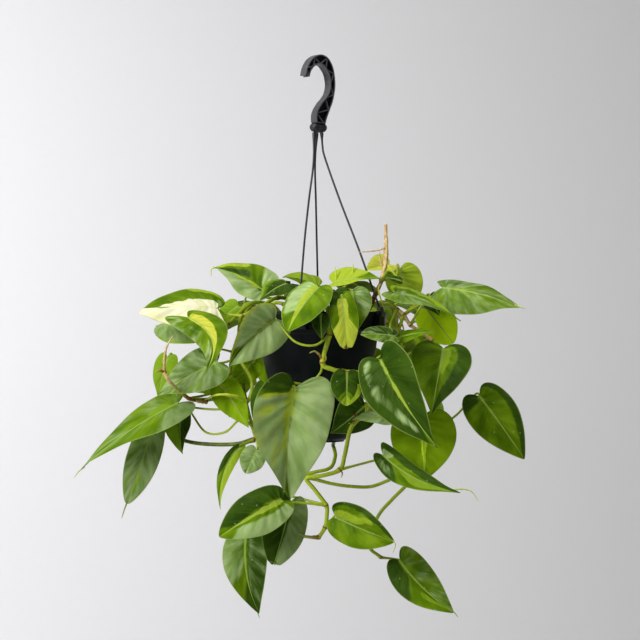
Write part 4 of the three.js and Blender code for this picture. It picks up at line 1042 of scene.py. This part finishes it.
def sprig(points, radius, tone=0.5, dry=0.0, scar=0.0):
    """A thin shoot that narrows to its end, and along which its redness fades."""
    t = np.linspace(0, 1, (len(points) - 1) * SPRIG_STEPS + 1)
    swell = (1 - 0.7 * t ** 1.5) * (1 + 0.14 * np.sin(31 * t))
    return shoot(points, radius * swell, SPRIG_SIDES, SPRIG_STEPS, peak=0.7, tone=(tone,) * 3,
                 dry=(dry,) * 3, node=(scar * (1 - 0.6 * t), scar, 0.4 * scar))


for name, sprigs in {
    "dried_growth": [
        sprig([(80, -33, -220), (72, -35, -223), (60, -38, -225), (47, -41, -226)], 1.1, dry=0.9),
        sprig([(63, -30, -286), (72, -35, -266), (78, -36, -250)], 3.0, dry=0.2, scar=1.0),
        sprig([(74, -35, -260), (80, -37, -238), (81, -37, -212), (79, -36, -197)], 2.5, dry=1.0),
        sprig([(78, -37, -246), (73, -36, -236), (73, -35, -224)], 1.2, dry=1.0),
        sprig([(5, -93, -355), (2, -96, -347), (-4, -98, -342), (-10, -99, -344)], 1.7, dry=0.5, scar=0.9),
        sprig([(5, -93, -357), (9, -97, -351), (8, -98, -345)], 1.1, dry=0.2, scar=0.9),
        sprig([(-178, -98, -367), (-177, -103, -348), (-174, -106, -336), (-167, -107, -324)], 1.8, dry=1.0),
        sprig([(-176, -98, -367), (-183, -101, -364), (-188, -102, -366)], 2.0, dry=0.3, scar=1.0),
        sprig([(-131, -49, -402), (-141, -55, -401), (-152, -65, -398)], 3.1, dry=0.4, scar=0.8),
        sprig([(43, -66, -421), (40, -70, -427), (35, -73, -426)], 1.3, dry=0.3, scar=0.9),
        sprig([(44, -64, -417), (44, -68, -422), (43, -70, -427)], 2.2, dry=0.1, scar=1.0),
        sprig([(-66, -60, -398), (-67, -68, -414), (-65, -67, -436)], 0.9, dry=0.9),
        sprig([(95, -36, -300), (101, -45, -318), (102, -47, -333), (98, -45, -345)], 1.0, dry=0.9),
        sprig([(93, -34, -297), (92, -42, -312), (95, -45, -326)], 0.7, dry=0.9),
        sprig([(1, -57, -560), (-12, -61, -560), (-26, -63, -555)], 1.9, dry=0.3, scar=0.8),
        sprig([(25, -66, -480), (28, -69, -485), (27, -70, -490)], 1.2, dry=0.2, scar=0.9),
    ],
    "soft_tips": [
        sprig([(-84, -62, -401), (-99, -80, -394), (-118, -80, -393), (-134, -52, -400)], 2.0, tone=1.0),
        sprig([(75, -34, -261), (71, -41, -270), (75, -45, -285), (79, -42, -297)], 1.3, tone=0.9, dry=0.3),
        sprig([(40, -43, -256), (41, -45, -248), (41, -44, -239)], 1.2, tone=1.0),
        sprig([(21, -44, -262), (21, -45, -252), (20, -44, -243)], 1.1, tone=1.0),
        sprig([(-274, -60, -478), (-281, -63, -484), (-286, -64, -491)], 0.8, tone=0.8),
        sprig([(155, -102, -502), (167, -104, -501), (177, -105, -504), (184, -106, -514)], 0.9, tone=0.7),
        sprig([(233, -28, -288), (240, -30, -291), (246, -31, -293)], 0.9, tone=0.9),
        sprig([(85, -98, -558), (89, -98, -566), (86, -97, -575)], 0.8, tone=0.8, dry=0.4),
        sprig([(-71, -46, -646), (-71, -47, -652), (-69, -49, -657)], 0.8, tone=0.5),
        sprig([(-226, -31, -520), (-230, -32, -531), (-233, -33, -541)], 1.0, tone=0.4),
        sprig([(-121, -25, -243), (-127, -26, -246), (-127, -27, -254)], 0.9, tone=1.0),
        sprig([(158, -39, -649), (162, -41, -653), (165, -42, -657)], 0.8, tone=0.4),
    ],
}.items():
    thing = make_grown(name, sprigs, stem_skin)
    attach(thing, "root")
